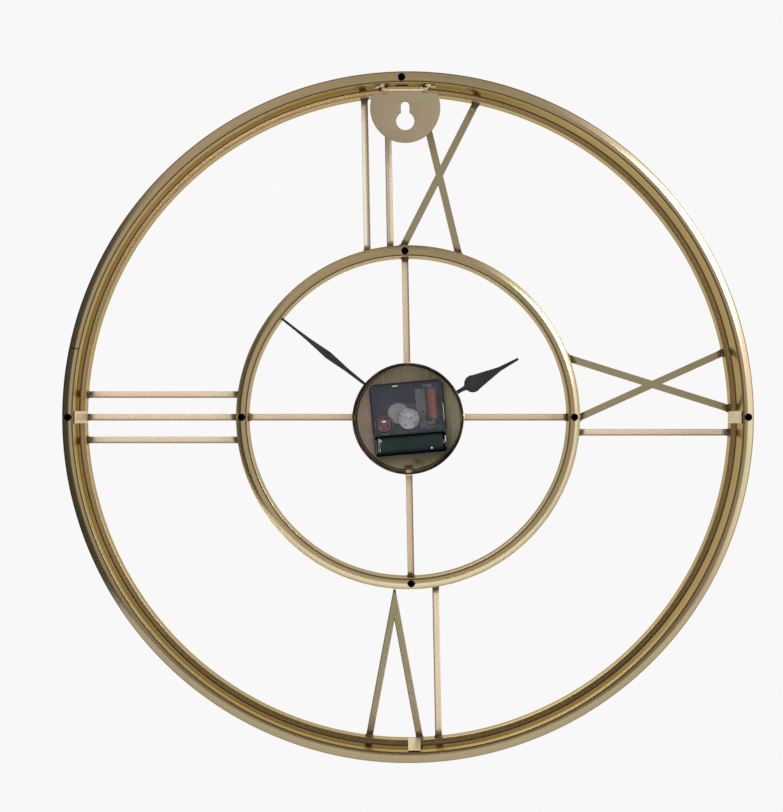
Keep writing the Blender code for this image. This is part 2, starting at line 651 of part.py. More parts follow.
def build_train(parent):
    """The wheels that turn the hands. Each mesh has a tooth of one gear in a gap of the other at rest."""
    to_third = heading(TRAIN_DIRECTION)
    to_motion = heading(MOTION_DIRECTION)
    to_rotor = heading(-ROTOR_DIRECTION)
    pivot_top = MOVEMENT_THICK - COVER_T + 0.0005
    shoulder = MOVEMENT_THICK - COVER_T - 0.0004
    white = white_plastic()

    centre = add_object("centre_wheel", rod(MINUTE_SHAFT_R, -0.0096, 0.0099, 24), white, parent)
    gear(centre, "disc", 45, TRAIN_DISTANCE, 6, to_third, 0.0084, 0.0093)
    gear(centre, "cannon", 10, MOTION_DISTANCE, 30, to_motion, 0.0052, 0.0068)
    cut(centre, "bore", rod(0.00055, 0.0086, 0.0120))

    profile = spindle(0.0074, 0.0082, shoulder, pivot_top, 0.00055)
    third = arbor("third_wheel", profile, white, parent, THIRD_AXIS)
    gear(third, "pinion", 6, TRAIN_DISTANCE, 45, to_third + pi + pi / 6, 0.0083, 0.0107)
    gear(third, "disc", 48, TRAIN_DISTANCE, 6, to_third + pi, 0.0106, 0.0114)

    profile = spindle(0.0089, 0.0102, shoulder, pivot_top, 0.00050)
    seconds = arbor("seconds_wheel", profile, white, parent, (0, 0))
    gear(seconds, "pinion", 6, TRAIN_DISTANCE, 48, to_third + pi / 6, 0.0103, 0.0125)
    gear(seconds, "disc", 48, SECONDS_DISTANCE, 6, 0, 0.0124, 0.0132)

    profile = spindle(0.0010, 0.0024, 0.0068, 0.0077, 0.0009)
    motion = arbor("motion_wheel", profile, white, parent, MOTION_AXIS)
    gear(motion, "pinion", 8, MOTION_DISTANCE, 32, to_motion + pi, 0.0031, 0.0057)
    gear(motion, "disc", 30, MOTION_DISTANCE, 10, to_motion + pi + pi / 30, 0.0056, 0.0065)

    hour = add_object("hour_wheel", rod(HOUR_PIPE_R, -0.0063, 0.0040, 24), white, parent)
    gear(hour, "disc", 32, MOTION_DISTANCE, 8, to_motion + pi / 32, 0.0035, 0.0044)
    cut(hour, "bore", rod(HOUR_PIPE_BORE_R, -0.0200, 0.0050, 24))

    edge, dish = KNOB_R - 0.0005, KNOB_R - 0.0018
    profile = [(0, 0.0011), (0.0009, 0.0011), (0.0009, 0.0118), (edge, 0.0120), (KNOB_R, 0.0125)]
    profile += [(KNOB_R, 0.0149), (edge, 0.0154), (dish, 0.0154), (dish - 0.0006, 0.0144), (0, 0.0144)]
    purple = material("knob_plastic", (0.22, 0.16, 0.18), 0.0, 0.4)
    knob = arbor("setting_knob", profile, purple, parent, KNOB_AXIS, 24)
    gear(knob, "pinion", 10, MOTION_DISTANCE, 30, to_motion + pi, 0.0052, 0.0068)

    profile = spindle(0.0010, 0.0024, shoulder, pivot_top, 0.00042)
    intermediate = arbor("intermediate_wheel", profile, white, parent, INTERMEDIATE_AXIS)
    gear(intermediate, "disc", 30, ROTOR_DISTANCE, 6, to_rotor, 0.0104, 0.0112)
    fuse(intermediate, "pinion", rod(0.00085, 0.0111, 0.0134, 12), location=intermediate.location)

    profile = [(0, 0.0010), (PIVOT_R, 0.0010), (PIVOT_R, 0.0080), (0.0024, 0.0080), (0.0024, 0.0100)]
    profile += [(0.0005, 0.0102), (0.0005, shoulder), (PIVOT_R, shoulder)]
    profile += [(PIVOT_R, pivot_top), (0, pivot_top)]
    rotor = arbor("rotor", profile, steel(), parent, ROTOR_AXIS)
    gear(rotor, "pinion", 6, ROTOR_DISTANCE, 30, to_rotor + pi + pi / 6, 0.0103, 0.0118)


# ---------------------------------------------------------------- hands and their fixings
def hand(name, outline, hub_r, bore_r, low, high, angle, parent):
    """A flat hand drawn towards 12 and turned to its place, with a round hub and its hole."""
    blade = add_object(name, prism(outline, low, high), black_metal(), parent, rotation=(0, angle, 0))
    fuse(blade, "hub", rod(hub_r, low - 0.0001, high + 0.0001, 24))
    cut(blade, "bore", rod(bore_r, low - 0.002, high + 0.002, 24))


def mirrored(right_side):
    return right_side + [(-x, z) for x, z in reversed(right_side)]


def build_hands(movement, parent):
    lance = mirrored([
        (0.0016, -0.018), (0.0013, 0.0), (0.0011, 0.044), (0.0015, 0.060), (0.0024, 0.071), (0.0029, 0.078),
        (0.0022, 0.086), (0.0014, 0.097), (0.0010, 0.109), (0.0009, 0.1221),
    ])
    hand("minute_hand", lance, 0.0045, 0.00185, -0.0079, -0.0071, MINUTE_ANGLE, parent)
    bulb_z = 0.0552
    bulb_r = 0.0067
    bulb = [(bulb_r * sin(a), bulb_z - bulb_r * cos(a)) for a in (0.30, 0.75, 1.2, 1.65, 2.1)]
    stem = [(0.0017, -0.014), (0.0015, 0.0), (0.0015, 0.0462)]
    spade = mirrored(stem + bulb + [(0.0036, 0.0690), (0.0017, 0.0785), (0.0009, 0.0944)])
    hand("hour_hand", spade, 0.0056, 0.0027, -0.0061, -0.0053, HOUR_ANGLE, parent)

    brass = material("brass", (0.60, 0.45, 0.22), 1.0, 0.3)
    hexagon = circle((0, 0), 0.0069, 6)
    nut = add_object("fixing_nut", prism(hexagon, -0.0038, -0.0019), brass, movement)
    cut(nut, "bore", rod(BUSH_R + 0.0003, -0.0100, 0.0010, 24))
    bore_r = BUSH_R + 0.0004
    ring = [(bore_r, -0.0018), (0.0075, -0.0018), (0.0075, -0.0015), (bore_r, -0.0015)]
    add_object("washer", turned(ring, 24, closed=True), brass, movement)
    cap = [(0, -0.0103), (0.0016, -0.0102), (0.0027, -0.0095), (0.0031, -0.0083)]
    cap += [(0.0019, -0.0083), (0.0019, -0.0098), (0, -0.0098)]
    add_object("hand_nut", turned(cap, 24), black_metal(), movement)


def main():
    clear_scene()
    centre = empty("dial_centre", location=(0, 0, -HOOK_ABOVE_CENTRE))
    shaft = (MOVEMENT_SIDE, -MOVEMENT_FRONT, -MOVEMENT_DROP)
    movement = empty("movement_centre", centre, shaft, (0, MOVEMENT_TURN, 0))
    hand_shaft = empty("hand_shaft", centre, shaft)
    build_outer_rings(centre)
    build_inner_ring(centre)
    build_numerals(centre)
    build_cup(centre)
    build_hanger(centre)
    build_case(movement)
    build_cover(movement)
    build_middle_plate(movement)
    build_battery(movement)
    build_motor(movement)
    build_train(movement)
    build_hands(movement, hand_shaft)


main()
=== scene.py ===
"""Looks of the open-frame wall clock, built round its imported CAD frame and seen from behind.

Metres, +Z up, +Y towards the wall. A "depth" is a distance in front of the wall plane, towards -Y. The rings,
bars and cup are drawn round the dial's axis, and the movement's own pieces in the movement's turned frame.
"""

from math import acos, asin, atan2, cos, hypot, pi, radians, sin, tau

import bmesh
import bpy
from mathutils import Matrix, Vector, noise


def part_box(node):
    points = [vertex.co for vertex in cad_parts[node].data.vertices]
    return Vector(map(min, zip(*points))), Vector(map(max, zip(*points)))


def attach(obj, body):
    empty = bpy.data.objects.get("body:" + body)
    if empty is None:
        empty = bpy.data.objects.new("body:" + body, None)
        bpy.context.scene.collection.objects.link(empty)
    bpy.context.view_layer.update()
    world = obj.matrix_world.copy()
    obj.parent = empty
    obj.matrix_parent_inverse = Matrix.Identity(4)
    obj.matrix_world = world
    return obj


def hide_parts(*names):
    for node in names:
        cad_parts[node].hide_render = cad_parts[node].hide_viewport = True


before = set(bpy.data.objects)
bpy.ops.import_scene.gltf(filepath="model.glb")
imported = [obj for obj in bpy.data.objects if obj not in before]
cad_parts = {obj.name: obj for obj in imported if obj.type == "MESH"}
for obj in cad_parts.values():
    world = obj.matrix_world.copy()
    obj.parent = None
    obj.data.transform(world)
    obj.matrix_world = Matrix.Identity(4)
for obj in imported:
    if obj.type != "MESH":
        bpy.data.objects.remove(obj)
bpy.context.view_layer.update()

MM = 0.001

# ---------------------------------------------------------------- places read from the frame
ring_low, ring_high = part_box("back_ring")
OUTER_R = (ring_high.x - ring_low.x) / 2
CENTRE_Z = (ring_high.z + ring_low.z) / 2
BACK_RING_DEPTH = -ring_low.y
FRONT_RING_BACK = -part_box("front_ring")[1].y
FRAME_DEPTH = -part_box("front_ring")[0].y
INNER_RING_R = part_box("inner_ring")[1].x
INNER_RING_BACK = -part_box("inner_ring")[1].y
cup_low, cup_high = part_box("movement_cup")
CUP_R = (cup_high.x - cup_low.x) / 2
CUP_Z = (cup_high.z + cup_low.z) / 2
CUP_RIM = -cup_high.y
CUP_FRONT = -cup_low.y
wheel_low, wheel_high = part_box("seconds_wheel")
SHAFT = (wheel_low + wheel_high) / 2
BAR_BACK = -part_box("spoke_12")[1].y
BAR_FRONT = -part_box("spoke_12")[0].y
BAR = BAR_FRONT - BAR_BACK

# ---------------------------------------------------------------- sizes of the shaped pieces
BACK_RING_IN_R = 0.2415
FRONT_RING_IN_R = 0.2410
INNER_RING_IN_R = 0.1192
CROWN_WIDTH = 5.2 * MM
CROWN_DROP = 2.4 * MM
SEAM_ANGLE = radians(77.8)
UPRIGHT_LEAN = radians(0.58)
LEVEL_LEAN = radians(-0.52)
SCREW_RECESS_R = 2.7 * MM

HINGE_DEPTH = 3.0 * MM
HINGE_Z = 12.4 * MM
PLATE_R = 25.4 * MM
PLATE_CENTRE_Z = -1.3 * MM
PLATE_TOP_Z = 9.1 * MM
PLATE_THICK = 1.2 * MM
KNUCKLE_R = 2.0 * MM
KNUCKLE_HALF = 12.3 * MM
WIRE_R = 1.1 * MM
WIRE_HALF = 16.8 * MM
WIRE_END_Z = 15.3 * MM
KEY_HOLE_R = 6.6 * MM
KEY_HOLE_Z = -10.9 * MM
KEY_SLOT_HALF = 3.1 * MM

MOVEMENT_FRONT = 45.4 * MM
MOVEMENT_THICK = 15.8 * MM
MOVEMENT_TURN = radians(4.5)
THIRD_AXIS = Vector((0.843, 0.537)).normalized() * 8.75 * MM
KNOB_AXIS = Vector((0.985, -0.170)).normalized() * 19.0 * MM
MOVEMENT = Matrix.Translation((SHAFT.x, -MOVEMENT_FRONT, SHAFT.z)) @ Matrix.Rotation(MOVEMENT_TURN, 4, "Y")
COIL_X = -18.3 * MM
COIL_DEPTH = 9.2 * MM
COIL_Z = (-2.3 * MM, 22.1 * MM)
COIL_R = 3.85 * MM
FLANGE_R = 4.3 * MM
CELL_Z = -18.7 * MM
CELL_R = 7.25 * MM
CELL_HALF = 25.25 * MM
CELL_DEPTH = 8.25 * MM

RING_STEPS = 288
CUP_STEPS = 144


# ---------------------------------------------------------------- node helpers
class Shader:
    """A new material's node tree, with short calls to add nodes to it."""

    def __init__(self, name, **sockets):
        self.material = bpy.data.materials.new(name)
        self.material.use_nodes = True
        self.tree = self.material.node_tree
        self.bsdf = self.tree.nodes["Principled BSDF"]
        for socket, value in sockets.items():
            self.bsdf.inputs[socket.replace("_", " ")].default_value = value
        self.position = self.add("ShaderNodeTexCoord").outputs["Object"]

    def add(self, kind, **settings):
        node = self.tree.nodes.new(kind)
        for key, value in settings.items():
            setattr(node, key, value)
        return node

    def link(self, source, target):
        self.tree.links.new(source, target)

    def fill(self, socket, value):
        if hasattr(value, "is_output"):
            self.link(value, socket)
        else:
            socket.default_value = value

    def math(self, operation, *values, clamp=False):
        node = self.add("ShaderNodeMath", operation=operation, use_clamp=clamp)
        for socket, value in zip(node.inputs, values):
            self.fill(socket, value)
        return node.outputs[0]

    def noise(self, vector, scale, detail=2.0, rough=0.5):
        node = self.add("ShaderNodeTexNoise")
        self.link(vector, node.inputs["Vector"])
        node.inputs["Scale"].default_value = scale
        node.inputs["Detail"].default_value = detail
        node.inputs["Roughness"].default_value = rough
        return node.outputs["Fac"]

    def ramp(self, factor, stops):
        node = self.add("ShaderNodeValToRGB")
        self.link(factor, node.inputs["Fac"])
        elements = node.color_ramp.elements
        elements[0].position = stops[0][0]
        elements[-1].position = stops[-1][0]
        for place, _ in stops[1:-1]:
            elements.new(place)
        for element, (_, color) in zip(elements, stops):
            element.color = (*color, 1.0)
        return node.outputs["Color"]

    def spread(self, factor, low, high, from_low=0.3, from_high=0.7):
        node = self.add("ShaderNodeMapRange")
        self.link(factor, node.inputs["Value"])
        for socket, value in (("From Min", from_low), ("From Max", from_high), ("To Min", low),
                              ("To Max", high)):
            node.inputs[socket].default_value = value
        return node.outputs["Result"]

    def mix(self, factor, first, second):
        node = self.add("ShaderNodeMix", data_type="RGBA")
        self.fill(node.inputs[0], factor)
        self.fill(node.inputs[6], first)
        self.fill(node.inputs[7], second)
        return node.outputs[2]

    def bump(self, height, strength, distance):
        node = self.add("ShaderNodeBump")
        node.inputs["Strength"].default_value = strength
        node.inputs["Distance"].default_value = distance
        self.link(height, node.inputs["Height"])
        self.link(node.outputs["Normal"], self.bsdf.inputs["Normal"])

    def scaled(self, x, y, z, source=None):
        """The position, or another vector, multiplied along each axis, so that noise stretches."""
        node = self.add("ShaderNodeVectorMath", operation="MULTIPLY")
        self.link(source or self.position, node.inputs[0])
        node.inputs[1].default_value = (x, y, z)
        return node.outputs[0]

    def polar(self, centre_z=CENTRE_Z):
        """The radius, angle and depth round an axis through x = 0, and the three as one vector."""
        split = self.add("ShaderNodeSeparateXYZ")
        self.link(self.position, split.inputs[0])
        x, y, z = split.outputs
        up = self.math("SUBTRACT", z, centre_z)
        radius = self.math("SQRT", self.math("ADD", self.math("MULTIPLY", x, x),
                                             self.math("MULTIPLY", up, up)))
        angle = self.math("ARCTAN2", x, up)
        joined = self.add("ShaderNodeCombineXYZ")
        for socket, value in zip(joined.inputs, (radius, angle, y)):
            self.link(value, socket)
        return radius, angle, self.math("MULTIPLY", y, -1.0), joined.outputs[0]

    def toward(self, angle, aim, low, high):
        """0 to 1 as an angle comes nearer to the aim; low and high are cosines of the angle between them."""
        return self.spread(self.math("COSINE", self.math("SUBTRACT", angle, aim)), 0.0, 1.0, low, high)

    def times(self, *values):
        product = values[0]
        for value in values[1:]:
            product = self.math("MULTIPLY", product, value)
        return product

    def facing(self):
        """The surface normal's part along +Y, towards the wall."""
        split = self.add("ShaderNodeSeparateXYZ")
        self.link(self.add("ShaderNodeNewGeometry").outputs["Normal"], split.inputs[0])
        return split.outputs[1]

    def band(self, value, centre, half):
        """1 where the value is at the centre, falling to 0 at half away on either side."""
        away = self.math("ABSOLUTE", self.math("SUBTRACT", value, centre))
        return self.math("MULTIPLY", self.math("SUBTRACT", 1.0, self.math("DIVIDE", away, half), clamp=True),
                         1.6, clamp=True)

    def in_movement(self):
        """The position in the movement's turned frame, as its x and z outputs."""
        node = self.add("ShaderNodeMapping", vector_type="TEXTURE")
        self.link(self.position, node.inputs["Vector"])
        node.inputs["Location"].default_value = (SHAFT.x, -MOVEMENT_FRONT, SHAFT.z)
        node.inputs["Rotation"].default_value = (0, MOVEMENT_TURN, 0)
        split = self.add("ShaderNodeSeparateXYZ")
        self.link(node.outputs[0], split.inputs[0])
        return split.outputs[0], split.outputs[2]


# ---------------------------------------------------------------- materials
PALE = (0.80, 0.69, 0.46)
PINK = (0.83, 0.66, 0.49)
OLIVE = (0.68, 0.64, 0.42)
CREAM = (0.93, 0.82, 0.64)
BURNT = (0.10, 0.080, 0.055)
# A painted shade colour, used on the cup.
SHADE_BLACK = (0.035, 0.030, 0.022)
GLANCING = (0.60, 0.47, 0.27, 1.0)      # what the plate mirrors at a shallow angle


def gold(name, tones, grain=None, roughness=(0.20, 0.32), patch=22.0, heat=(), side=None, lines=(),
         paint=None,
         metallic=1.0):
    """Pale gold plate. `tones` are its patch colours; `grain` is how many times (radius, angle, depth) vary
    in its polishing lines, or nothing for a plain satin; each (radius, reach) in `heat` darkens it with a
    weld's heat tint; `side` is a (tone, share) of painted shade mixed into faces that look sideways; each
    (radius, half width, tone) in `lines` is a thin painted shade line round the dial's axis on the back
    faces;
    `paint` may add its own painted light and shade."""
    shader = Shader(name, Metallic=metallic, Specular_Tint=GLANCING)
    radius, angle, depth, around = shader.polar()
    facing = shader.facing()
    patches = shader.noise(shader.position, patch, 4.0, 0.6)
    stops = [(0.30 + 0.40 * i / max(1, len(tones) - 1), tone) for i, tone in enumerate(tones)]
    color = shader.ramp(patches, stops)
    if side:
        # Painted shade: faces that look sideways get a darker tone.
        tone, share = side
        side_shade = shader.spread(shader.math("ABSOLUTE", facing), share, 0.0, 0.55, 0.97)
        color = shader.mix(side_shade, color, (*tone, 1.0))
    # Painted light and shade from the paint functions, fixed to the piece.
    if paint:
        color = paint(shader, color, radius, angle, depth, facing)
    # Painted shade: thin dark lines round the dial's axis on the back faces.
    for at, half, tone in lines:
        on_back = shader.spread(facing, 0.0, 1.0, 0.3, 0.6)
        shade_line = shader.math("MULTIPLY", shader.band(radius, at, half), on_back)
        color = shader.mix(shade_line, color, (*tone, 1.0))
    if grain:
        lines_height = shader.noise(shader.scaled(*grain, source=around), 1.0, 3.0, 0.6)
    else:
        lines_height = shader.noise(shader.position, 900.0, 3.0, 0.6)
    mottle = shader.noise(shader.position, 420.0, 3.0, 0.6)
    uneven = shader.math("ADD", shader.math("MULTIPLY", lines_height, 0.6),
                         shader.math("MULTIPLY", mottle, 0.4))
    rough = shader.spread(uneven, *roughness)
    ragged = shader.math("SUBTRACT", shader.noise(shader.position, 260.0, 2.0), 0.5)
    wander = shader.math("MULTIPLY", ragged, 0.003)
    for at, reach in heat:
        far = shader.math("ABSOLUTE", shader.math("ADD", shader.math("SUBTRACT", radius, at), wander))
        near = shader.math("SUBTRACT", 1.0, shader.math("DIVIDE", far, reach), clamp=True)
        glow = shader.math("MULTIPLY", near, 2.2, clamp=True)
        tint = shader.ramp(near, [(0.0, (0.62, 0.47, 0.30)), (0.35, (0.26, 0.20, 0.13)), (0.75, BURNT)])
        color = shader.mix(glow, color, tint)
        rough = shader.math("ADD", rough, shader.math("MULTIPLY", glow, 0.18))
    shader.link(color, shader.bsdf.inputs["Base Color"])
    shader.link(rough, shader.bsdf.inputs["Roughness"])
    shader.bump(lines_height, 0.22, 0.00012)
    return shader.material


AROUND = (2200.0, 9.0, 2200.0)
ALONG = (35.0, 900.0, 1500.0)
BAR_HEAT = ((INNER_RING_R, 6.0 * MM), (FRONT_RING_IN_R, 7.5 * MM))
SPOKE_HEAT = ((INNER_RING_IN_R, 4.0 * MM), (CUP_R - 4.0 * MM, 4.0 * MM))


def paint_back_ring(shader, color, radius, angle, depth, facing):
    """Painted light and shade, fixed to the ring: the inner wall is pale towards -X, and elsewhere only near
    its back edge, and the lowest part of the ring is duller."""
    wall = shader.spread(shader.math("ABSOLUTE", facing), 1.0, 0.0, 0.2, 0.6)
    right = shader.toward(angle, radians(-75), 0.35, 0.65)
    top = shader.toward(angle, 0.0, 0.86, 0.97)
    deep = shader.times(shader.spread(depth, 0.0, 1.0, 6.5 * MM, 8.5 * MM),
                        shader.math("SUBTRACT", 1.0, right))
    low = shader.times(shader.toward(angle, pi, 0.1, 0.75), 0.85)
    color = shader.mix(low, color, (0.36, 0.30, 0.18, 1.0))
    streak = shader.noise(shader.scaled(0.4, 0.4, 0.4), 14.0, 2.0)
    tone = shader.mix(shader.math("MULTIPLY", top, 0.75), (0.50, 0.42, 0.25, 1.0), (0.26, 0.20, 0.11, 1.0))
    dark = shader.ramp(streak, [(0.40, (0.14, 0.09, 0.045)), (0.60, (0.30, 0.22, 0.12))])
    return shader.mix(wall, color, shader.mix(deep, tone, dark))


def paint_front_ring(shader, color, radius, angle, depth, facing):
    """Painted light and shade, fixed to the ring: the back face is brown, lighter towards +X, with a dark
    line, and the inner wall is a duller gold.
    """
    face = shader.spread(facing, 0.0, 0.95, 0.70, 0.95)
    left = shader.toward(angle, radians(60), -0.2, 0.7)
    tone = shader.mix(left, (0.37, 0.29, 0.17, 1.0), (0.62, 0.51, 0.34, 1.0))
    shade = shader.band(radius, FRONT_RING_IN_R + 4.4 * MM, 1.3 * MM)
    wall = shader.spread(shader.math("ABSOLUTE", facing), 1.0, 0.0, 0.2, 0.6)
    color = shader.mix(wall, color, (0.62, 0.53, 0.34, 1.0))
    return shader.mix(face, color, shader.mix(shade, tone, (0.10, 0.06, 0.03, 1.0)))


def paint_inner_ring(shader, color, radius, angle, depth, facing):
    """Painted shade, fixed to the ring: the inner wall is dark in front at the lower part towards -X."""
    wall = shader.spread(shader.math("ABSOLUTE", facing), 1.0, 0.0, 0.2, 0.6)
    low_right = shader.toward(angle, radians(-140), 0.35, 0.75)
    deep = shader.times(shader.spread(depth, 0.0, 1.0, INNER_RING_BACK + 8 * MM, INNER_RING_BACK + 11 * MM),
                        low_right)
    tone = shader.mix(deep, (0.62, 0.53, 0.35, 1.0), (0.13, 0.09, 0.05, 1.0))
    return shader.mix(wall, color, tone)


def across(node, lean, upright, stops):
    """Painted light and shade across a straight bar, from its -X or lower edge to its +X or upper edge."""
    low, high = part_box(node)
    x, up = (low.x + high.x) / 2, (low.z + high.z) / 2 - CENTRE_Z
    middle = hypot(x, up) * (sin if upright else cos)(atan2(x, up) - lean)

    def paint(shader, color, radius, angle, depth, facing):
        turn = shader.math("SINE" if upright else "COSINE", shader.math("SUBTRACT", angle, lean))
        place = shader.math("SUBTRACT", shader.math("MULTIPLY", radius, turn), middle - BAR / 2)
        tones = shader.ramp(shader.math("DIVIDE", place, BAR), stops)
        return shader.mix(0.85, color, tones)
    return paint


def weld_metal():
    shader = Shader("weld_metal", Metallic=1.0)
    lumps = shader.noise(shader.position, 700.0, 3.0, 0.6)
    stops = [(0.3, (0.05, 0.040, 0.028)), (0.55, (0.18, 0.14, 0.09)), (0.75, (0.55, 0.45, 0.30))]
    shader.link(shader.ramp(lumps, stops), shader.bsdf.inputs["Base Color"])
    shader.link(shader.spread(lumps, 0.30, 0.55), shader.bsdf.inputs["Roughness"])
    shader.bump(shader.noise(shader.position, 1500.0, 2.0), 0.5, 0.0003)
    return shader.material


def plastic(name, dark, light, roughness, scale=900.0, strength=0.15, patch=60.0):
    """Moulded plastic: slightly uneven colour, a fine eroded texture and a soft gloss."""
    shader = Shader(name)
    cloud = shader.noise(shader.position, patch, 3.0)
    shader.link(shader.ramp(cloud, [(0.35, dark), (0.65, light)]), shader.bsdf.inputs["Base Color"])
    shader.link(shader.spread(shader.noise(shader.position, scale * 0.4), *roughness),
                shader.bsdf.inputs["Roughness"])
    shader.bump(shader.noise(shader.position, scale, 2.0), strength, 0.0001)
    return shader.material


def metal(name, dark, light, roughness, scale=300.0):
    shader = Shader(name, Metallic=1.0)
    wear_and_shade = shader.noise(shader.position, scale, 3.0, 0.6)
    shader.link(shader.ramp(wear_and_shade, [(0.35, dark), (0.65, light)]), shader.bsdf.inputs["Base Color"])
    shader.link(shader.spread(wear_and_shade, *roughness), shader.bsdf.inputs["Roughness"])
    shader.bump(shader.noise(shader.scaled(1.0, 6.0, 1.0), scale * 6, 2.0), 0.15, 0.0001)
    return shader.material


def enamel(name, dark, light):
    """Matt black lacquer with an orange-peel surface and a few lighter specks."""
    shader = Shader(name, Specular_IOR_Level=0.35)
    peel = shader.noise(shader.position, 1400.0, 2.0)
    specks = shader.noise(shader.position, 2600.0, 1.0)
    tone = shader.ramp(shader.noise(shader.position, 110.0, 3.0), [(0.35, dark), (0.65, light)])
    dusty = shader.spread(specks, 0.0, 0.35, 0.66, 0.74)
    shader.link(shader.mix(dusty, tone, (0.22, 0.21, 0.22, 1.0)), shader.bsdf.inputs["Base Color"])
    shader.link(shader.spread(peel, 0.42, 0.62), shader.bsdf.inputs["Roughness"])
    shader.bump(peel, 0.25, 0.00012)
    return shader.material


def smoked_cover():
    """Clear grey plastic, dark and nearly solid along the outline where it sits on the case's walls."""
    shader = Shader("smoked_cover_finish", Specular_IOR_Level=0.4)
    x, z = shader.in_movement()
    reach = shader.math("MAXIMUM", shader.math("ABSOLUTE", x), z)
    border = shader.spread(reach, 0.0, 1.0, 26.0 * MM, 26.6 * MM)
    haze = shader.noise(shader.position, 90.0, 3.0)
    tint = shader.ramp(haze, [(0.35, (0.060, 0.085, 0.095)), (0.65, (0.085, 0.085, 0.130))])
    shader.link(shader.mix(border, tint, (0.006, 0.007, 0.008, 1.0)), shader.bsdf.inputs["Base Color"])
    shader.link(shader.spread(border, 0.26, 0.97, 0.0, 1.0), shader.bsdf.inputs["Alpha"])
    shader.link(shader.spread(haze, 0.16, 0.30), shader.bsdf.inputs["Roughness"])
    shader.bump(shader.noise(shader.position, 90.0, 1.0), 0.10, 0.0004)
    return shader.material


# ---------------------------------------------------------------- mesh helpers
def add_piece(name, builder, finish, body="frame", stands_for=(), place=None, sharp=35):
    """A piece from a filled bmesh, moved by `place`, riding on a body and standing for CAD nodes."""
    mesh = bpy.data.meshes.new(name)
    if place:
        builder.transform(place)
    bmesh.ops.recalc_face_normals(builder, faces=builder.faces)
    builder.to_mesh(mesh)
    builder.free()
    mesh.shade_smooth()
    mesh.set_sharp_from_angle(angle=radians(sharp))
    mesh.materials.append(finish)
    piece = bpy.data.objects.new(name, mesh)
    bpy.context.scene.collection.objects.link(piece)
    claim(piece, body, stands_for)
    return piece


def claim(piece, body, stands_for=()):
    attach(piece, body)
    if stands_for:
        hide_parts(*stands_for)


def dress(node, finish, bevel=0.0, segments=2):
    """A CAD node keeps its shape; it gets a finish, joined faces and, where asked, rounded edges."""
    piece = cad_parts[node]
    for slot in piece.material_slots:
        slot.material = finish
    weld = piece.modifiers.new("weld", "WELD")
    weld.merge_threshold = 0.00002
    if bevel:
        flat = piece.modifiers.new("flat", "DECIMATE")
        flat.decimate_type = "DISSOLVE"
        flat.angle_limit = radians(0.5)
        edge = piece.modifiers.new("edge", "BEVEL")
        edge.width = bevel
        edge.segments = segments
        edge.limit_method = "ANGLE"
        edge.angle_limit = radians(32)
        edge.harden_normals = True
    return piece


def lathe(profile, steps, closed=False):
    """(radius, y) points turned about the Y axis. An open profile starts and ends on the axis."""
    builder = bmesh.new()
    rows = []
    for radius, y in profile:
        count = 1 if radius == 0 else steps
        angles = [tau * i / steps for i in range(count)]
        rows.append([builder.verts.new((radius * sin(a), y, radius * cos(a))) for a in angles])
    pairs = list(zip(rows, rows[1:]))
    if closed:
        pairs.append((rows[-1], rows[0]))
    for a, b in pairs:
        for i in range(steps):
            j = (i + 1) % steps
            corners = [a[i % len(a)], a[j % len(a)], b[j % len(b)], b[i % len(b)]]
            builder.faces.new(list(dict.fromkeys(corners)))
    return builder


def soften(points, steps=3):
    """A closed outline of (a, b, width): each corner is rounded off over its width."""
    rounded = []
    for i, (a, b, width) in enumerate(points):
        here = Vector((a, b))
        if not width:
            rounded.append(tuple(here))
            continue
        before = Vector(points[i - 1][:2])
        after = Vector(points[(i + 1) % len(points)][:2])
        start = here + (before - here).normalized() * width
        end = here + (after - here).normalized() * width
        for k in range(steps + 1):
            t = k / steps
            rounded.append(tuple(start * (1 - t) ** 2 + here * 2 * t * (1 - t) + end * t * t))
    return rounded


def prism(outline, low, high):
    """An outline of (x, z) as a closed solid from y = low to y = high."""
    builder = bmesh.new()
    near = [builder.verts.new((x, low, z)) for x, z in outline]
    far = [builder.verts.new((x, high, z)) for x, z in outline]
    builder.faces.new(near)
    builder.faces.new(far)
    for i in range(len(outline)):
        j = (i + 1) % len(outline)
        builder.faces.new((near[i], near[j], far[j], far[i]))
    return builder


def box(low, high):
    outline = [(low[0], low[2]), (high[0], low[2]), (high[0], high[2]), (low[0], high[2])]
    return prism(outline, low[1], high[1])


def rod(radius, low, high, centre):
    """A round post along Y at an (x, z) centre."""
    builder = lathe([(0, low), (radius, low), (radius, high), (0, high)], 24)
    builder.transform(Matrix.Translation((centre[0], 0, centre[1])))
    return builder


def ring_plate(centre, inner_r, outer_r, low, high):
    """A flat ring at an (x, z) centre."""
    builder = lathe([(inner_r, low), (outer_r, low), (outer_r, high), (inner_r, high)], 64, closed=True)
    builder.transform(Matrix.Translation((centre[0], 0, centre[1])))
    return builder


def circle(centre, radius, steps, start=0.0, sweep=tau):
    count = steps if sweep == tau else steps + 1
    angles = [start + sweep * i / steps for i in range(count)]
    return [(centre[0] + radius * sin(a), centre[1] + radius * cos(a)) for a in angles]


def sheet(outlines, low, high, edge):
    """A flat plate with rounded edges from y = low to y = high; outlines after the first are its holes."""
    curve = bpy.data.curves.new("outline", "CURVE")
    curve.dimensions = "2D"
    curve.fill_mode = "BOTH"
    curve.extrude = (high - low) / 2 - edge
    curve.bevel_depth = edge
    curve.bevel_resolution = 2
    curve.offset = -edge
    for outline in outlines:
        spline = curve.splines.new("POLY")
        spline.points.add(len(outline) - 1)
        spline.use_cyclic_u = True
        for point, (x, z) in zip(spline.points, outline):
            point.co = (x, z, 0, 1)
    holder = bpy.data.objects.new("outline", curve)
    bpy.context.scene.collection.objects.link(holder)
    mesh = bpy.data.meshes.new_from_object(holder.evaluated_get(bpy.context.evaluated_depsgraph_get()))
    bpy.data.objects.remove(holder)
    builder = bmesh.new()
    builder.from_mesh(mesh)
    bmesh.ops.remove_doubles(builder, verts=builder.verts, dist=0.000002)
    builder.transform(Matrix.Translation((0, (low + high) / 2, 0)) @ Matrix.Rotation(pi / 2, 4, "X"))
    return builder


